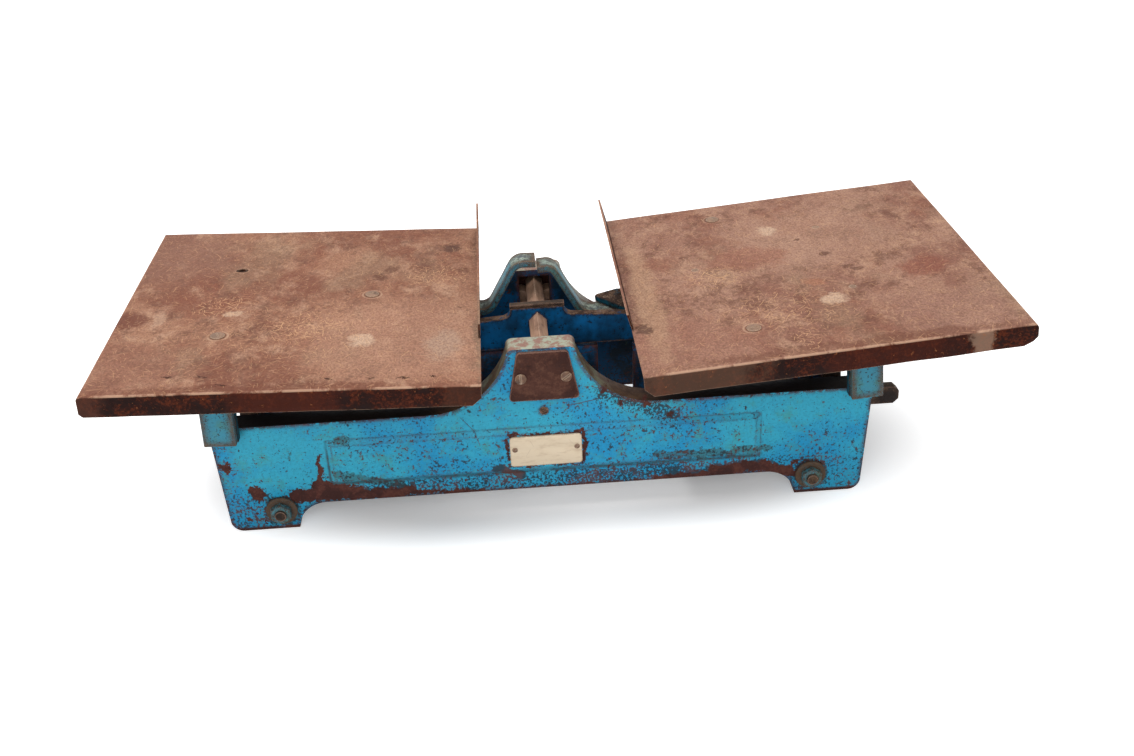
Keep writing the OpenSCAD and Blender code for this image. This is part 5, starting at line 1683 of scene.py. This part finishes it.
LEFT_ZONES = zones(
    (-300, 92, 62, 60, 138, 98, 82, 0.75),
    (-300, -100, 60, 46, 146, 102, 84, 0.6),
    (-105, -62, 82, 70, 186, 142, 118, 0.5),
    (-301, -22, 20, 15, 110, 64, 50, 0.85),
    (-281, -20, 5, 17, 190, 156, 132, 0.6),
    (-136, -62, 10, 10, *PALE_SPOT, 0.8),
    (-229, -16, 9, 7, *PALE_SPOT, 0.7),
    (-79, -73, 15, 24, 178, 152, 132, 0.55),
    (-76, 94, 8, 8, 84, 58, 48, 0.8),
    (-129, 44, 7, 7, 96, 62, 50, 0.7),
    (-119, 56, 6, 8, 96, 62, 50, 0.7),
    (-190, -127, 130, 7, 112, 66, 50, 0.6),
    (-50, -70, 8, 66, 126, 104, 86, 0.65),
    (-50, 90, 9, 46, 112, 78, 62, 0.6),
    *((*place, 3.4, 1.5, *BLACK_NICK, 0.95)
      for place in ((-222, -121.6), (-237, -109), (-257, -109), (-152, -116.5), (-124, -118),
                    (-103, -118), (-85, -115))),
)
LEFT_SIDE_ZONES = zones(
    (-318, -128, 26, 14, 76, 46, 36, 0.6),
    (-64, -132, 14, 10, 70, 40, 28, 0.6),
    (-180, -132, 40, 10, 72, 28, 14, 0.6),
)
LEFT_TANGLES = (
    Zone((-177, -39), (28, 26), strength=0.6),
    Zone((-180, -50), (70, 50), strength=0.24),
    Zone((-238, -3), (24, 20), strength=0.5),
    Zone((-85, 42), (26, 22), strength=0.45),
)
RIGHT_ZONES = zones(
    (92, -104, 50, 44, 156, 112, 94, 0.6),
    (268, -108, 48, 40, 156, 116, 100, 0.6),
    (200, 40, 70, 60, 184, 146, 124, 0.45),
    (69, -25, 11, 108, 188, 152, 122, 0.5),
    (269, -33, 20, 16, 138, 84, 68, 0.75),
    (188, -35, 9, 7, 180, 118, 84, 0.35),
    (175, 65, 8, 8, *PALE_SPOT, 0.8),
    (197, -65, 10, 9, *PALE_SPOT, 0.8),
    (192, 42, 4, 3, 100, 68, 56, 0.8),
    (209.5, 8, 4, 3.5, 100, 68, 56, 0.8),
    (217, -17, 6, 3.5, 96, 64, 52, 0.7),
    (224, -23, 6, 3.5, 96, 64, 52, 0.7),
    (61, -70, 5, 8, 86, 58, 48, 0.8),
    (190, -132, 130, 7, 116, 74, 58, 0.6),
    (150, 20, 34, 22, 150, 98, 80, 0.6),
)
RIGHT_SIDE_ZONES = zones(
    (92, -140, 46, 14, 92, 66, 52, 0.6),
    (275, -140, 7, 14, 160, 128, 108, 0.55),
    (215, -140, 50, 14, 66, 24, 12, 0.5),
)
RIGHT_TANGLES = (
    Zone((154, -78), (30, 10), strength=0.5),
    Zone((160, -72), (52, 36), strength=0.3),
    Zone((165, -116), (10, 20), strength=0.45),
    Zone((122, -5), (24, 20), strength=0.55),
)
PANEL_LEFT, PANEL_RIGHT = -168.4, 145.6

CAST_PAINT = CastPaint(
    "cast_paint",
    bare=(
        Patch((-174, 59), (-175, 38), 1.2, 1.8),
        Patch((-194, 28), (-152, 28), 5.0, 4.0),
        Patch((-178, 35), (-160, 30), 3.4, 4.0),
        Patch((-156, 26), (-112, 25), 3.6, 3.6),
        Patch((-112, 22.5), (-60, 21), 1.2, 2.4, 0.8),
        Patch((-60, 20.6), (70, 20.6), 0.6, 2.2, 0.7),
        Patch((70, 21), (112, 23), 1.8, 3.0, 0.9),
        Patch((112, 25), (150, 26), 3.6, 3.6),
        Patch((150, 25), (170, 18), 3.4, 3.0),
        Patch((-224, 34), (-220, 29), 3.6, 3.0, 0.9),
        Patch((-242, 56), (-241, 54), 3.4, 3.0, 0.8),
        Patch((32, 98), (33, 98), 1.6, 1.6, 0.9),
        Patch((43, 89), (44, 89), 1.4, 1.6, 0.9),
        Patch((61, 87), (62, 86), 1.8, 1.6, 0.9),
        Patch((79, 75), (80, 75), 1.6, 1.6, 0.9),
    ),
    plate_halo=(
        Patch((-37, 68.4), (15, 68.4), 1.0, 2.2, 0.85),
        Patch((-39, 44), (-39, 66), 0.6, 2.0, 0.8),
        Patch((15.4, 44), (15.8, 66), 1.2, 2.4, 0.85),
        Patch((-38, 41.8), (14, 41.8), 0.3, 1.8, 0.7),
    ),
    stains=(
        Patch((-164, 45), (-118, 33), 2.4, 3.0, 0.9),
        Patch((-160, 72.6), (-154, 72.6), 2.6, 2.4, 0.9),
        Patch((69, 44), (150, 42), 2.4, 4.0, 0.8),
        Patch((101, 38.5), (104, 38.5), 2.4, 3.0, 0.8),
        Patch((-206.9, 16.5), (-207, 16), 12.5, 3.0, 0.8),
        Patch((184.1, 16.5), (184.2, 16), 12.5, 3.0, 0.8),
    ),
    crowded=(
        Patch((-160, 29), (140, 28), 4.0, 5.0, 0.1),
        Patch((-47, 41), (-31, 33.5), 2.6, 3.0, 0.5),
        Patch((30, 98), (80, 76), 4.0, 8.0, 0.24),
    ),
    lines=(
        Patch((-71, 84.5), (-61.5, 72), 0.1, 0.4, 0.9),
        Patch((-61.5, 72), (-58.6, 62.5), 0.1, 0.4, 0.9),
        Patch((6.6, 89), (18, 91), 0.15, 0.5, 0.9),
        Patch((18, 91), (29, 93), 0.2, 0.5, 0.9),
    ),
    # Painted shade with some dirt along the raised panel's four edges, darkest along the lower one.
    grooves=(
        Patch((PANEL_LEFT, 38), (PANEL_LEFT, 72), 0.5, 1.2),
        Patch((PANEL_LEFT, 36.4), (PANEL_RIGHT, 36.4), 1.6, 1.8),
        Patch((PANEL_LEFT, 72.8), (PANEL_RIGHT, 72.8), 0.1, 0.8, 0.6),
        Patch((PANEL_RIGHT, 38), (PANEL_RIGHT, 72), 0.2, 1.0, 0.5),
    )
)

FINISHES: dict[str, Finish] = {
    "cast_paint": CAST_PAINT,
    "dark_paint": DarkPaint("dark_paint"),
    "carrier_paint": DarkPaint("carrier_paint", blue=srgb(14, 78, 96), dark=srgb(20, 44, 50),
                               brown=srgb(64, 46, 38)),
    "plate_paint": FadedPaint("plate_paint", paint=srgb(54, 134, 158), faded=srgb(64, 124, 124),
                              top_share=0.9),
    "pointer_paint": FadedPaint("pointer_paint", pale=srgb(158, 160, 140), brown=srgb(84, 64, 52)),
    "washer_paint": FadedPaint("washer_paint", paint=srgb(36, 108, 122), faded=srgb(58, 92, 84),
                               top_share=0.2, border=0.009, border_amount=1.0, density=0.46),
    "nut_paint": FadedPaint("nut_paint", paint=srgb(52, 148, 170), faded=srgb(70, 128, 124),
                            top_share=0.3, border=0.004, border_amount=0.9, density=0.38),
    # The bearing covers' pale worn edges, raised by edge_amount, also stand in as a painted highlight.
    "rusty_plate": Rusty("rusty_plate", low=srgb(50, 24, 18), middle=srgb(72, 40, 30),
                         high=srgb(92, 60, 48), edge=srgb(156, 118, 104), edge_amount=0.7, scale=38.0,
                         dust=0.1),
    "cap_plate": Rusty("cap_plate", low=srgb(34, 22, 16), middle=srgb(56, 38, 28),
                       high=srgb(84, 64, 50), dust=0.1),
    "worn_steel": WornSteel("worn_steel"),
    "rusty_iron": Rusty("rusty_iron", low=srgb(34, 26, 22), middle=srgb(62, 44, 34),
                        high=srgb(92, 72, 56)),
    "lever_iron": Rusty("lever_iron", low=srgb(36, 28, 26), middle=srgb(66, 48, 38),
                        high=srgb(96, 76, 62)),
    "screw_heads": WornSteel("screw_heads", light=srgb(112, 82, 62), tone=srgb(82, 56, 44),
                             stain=srgb(52, 34, 26), metal=0.1),
    "pan_heads": WornSteel("pan_heads", light=srgb(146, 114, 92), tone=srgb(118, 90, 70),
                           stain=srgb(88, 64, 50), metal=0.0),
    "aged_plate": AgedPlate("aged_plate"),
    "left_pan": PanRust("left_pan", zones=LEFT_ZONES, side_zones=LEFT_SIDE_ZONES, tangles=LEFT_TANGLES,
                        heads=((-235.4, -50), (-132.5, 12)), holes=((-235.4, 59.0),)),
    "right_pan": PanRust("right_pan", low=srgb(142, 100, 84), middle=srgb(168, 128, 108),
                         zones=RIGHT_ZONES, side_zones=RIGHT_SIDE_ZONES, tangles=RIGHT_TANGLES,
                         lines=(Patch((177, -8), (177, -71), 0.1, 0.4),
                                Patch((246, -85), (245, -119), 0.1, 0.4)),
                         heads=((133.6, -92), (137.6, 102)), offset=0.63),
}

HOLES_LEFT = ((0.0, 60.0),)
HOLES_RIGHT = ((0.0, 60.0), (0.0, -50.0), (-103.0, 12.0))


def main() -> None:
    """Builds the studio and the scale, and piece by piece."""
    Studio().build()
    shop = Workshop(FINISHES)
    left = PanSheet(Side.LEFT, out=76, height=39.3, shift=4.3, flange_near=11, flange_far=21, lean=0,
                    corner=2.5, tilt=2.36, holes=HOLES_LEFT)
    right = PanSheet(Side.RIGHT, out=98.6, height=42.3, shift=-3.3, flange_near=13, flange_far=19.5,
                     lean=11, corner=6, tilt=4.64, holes=HOLES_RIGHT)
    for part in (Housing(shop), Beam(shop), Carrier(shop, left), Carrier(shop, right)):
        part.build()


if __name__ == "__main__":
    main()
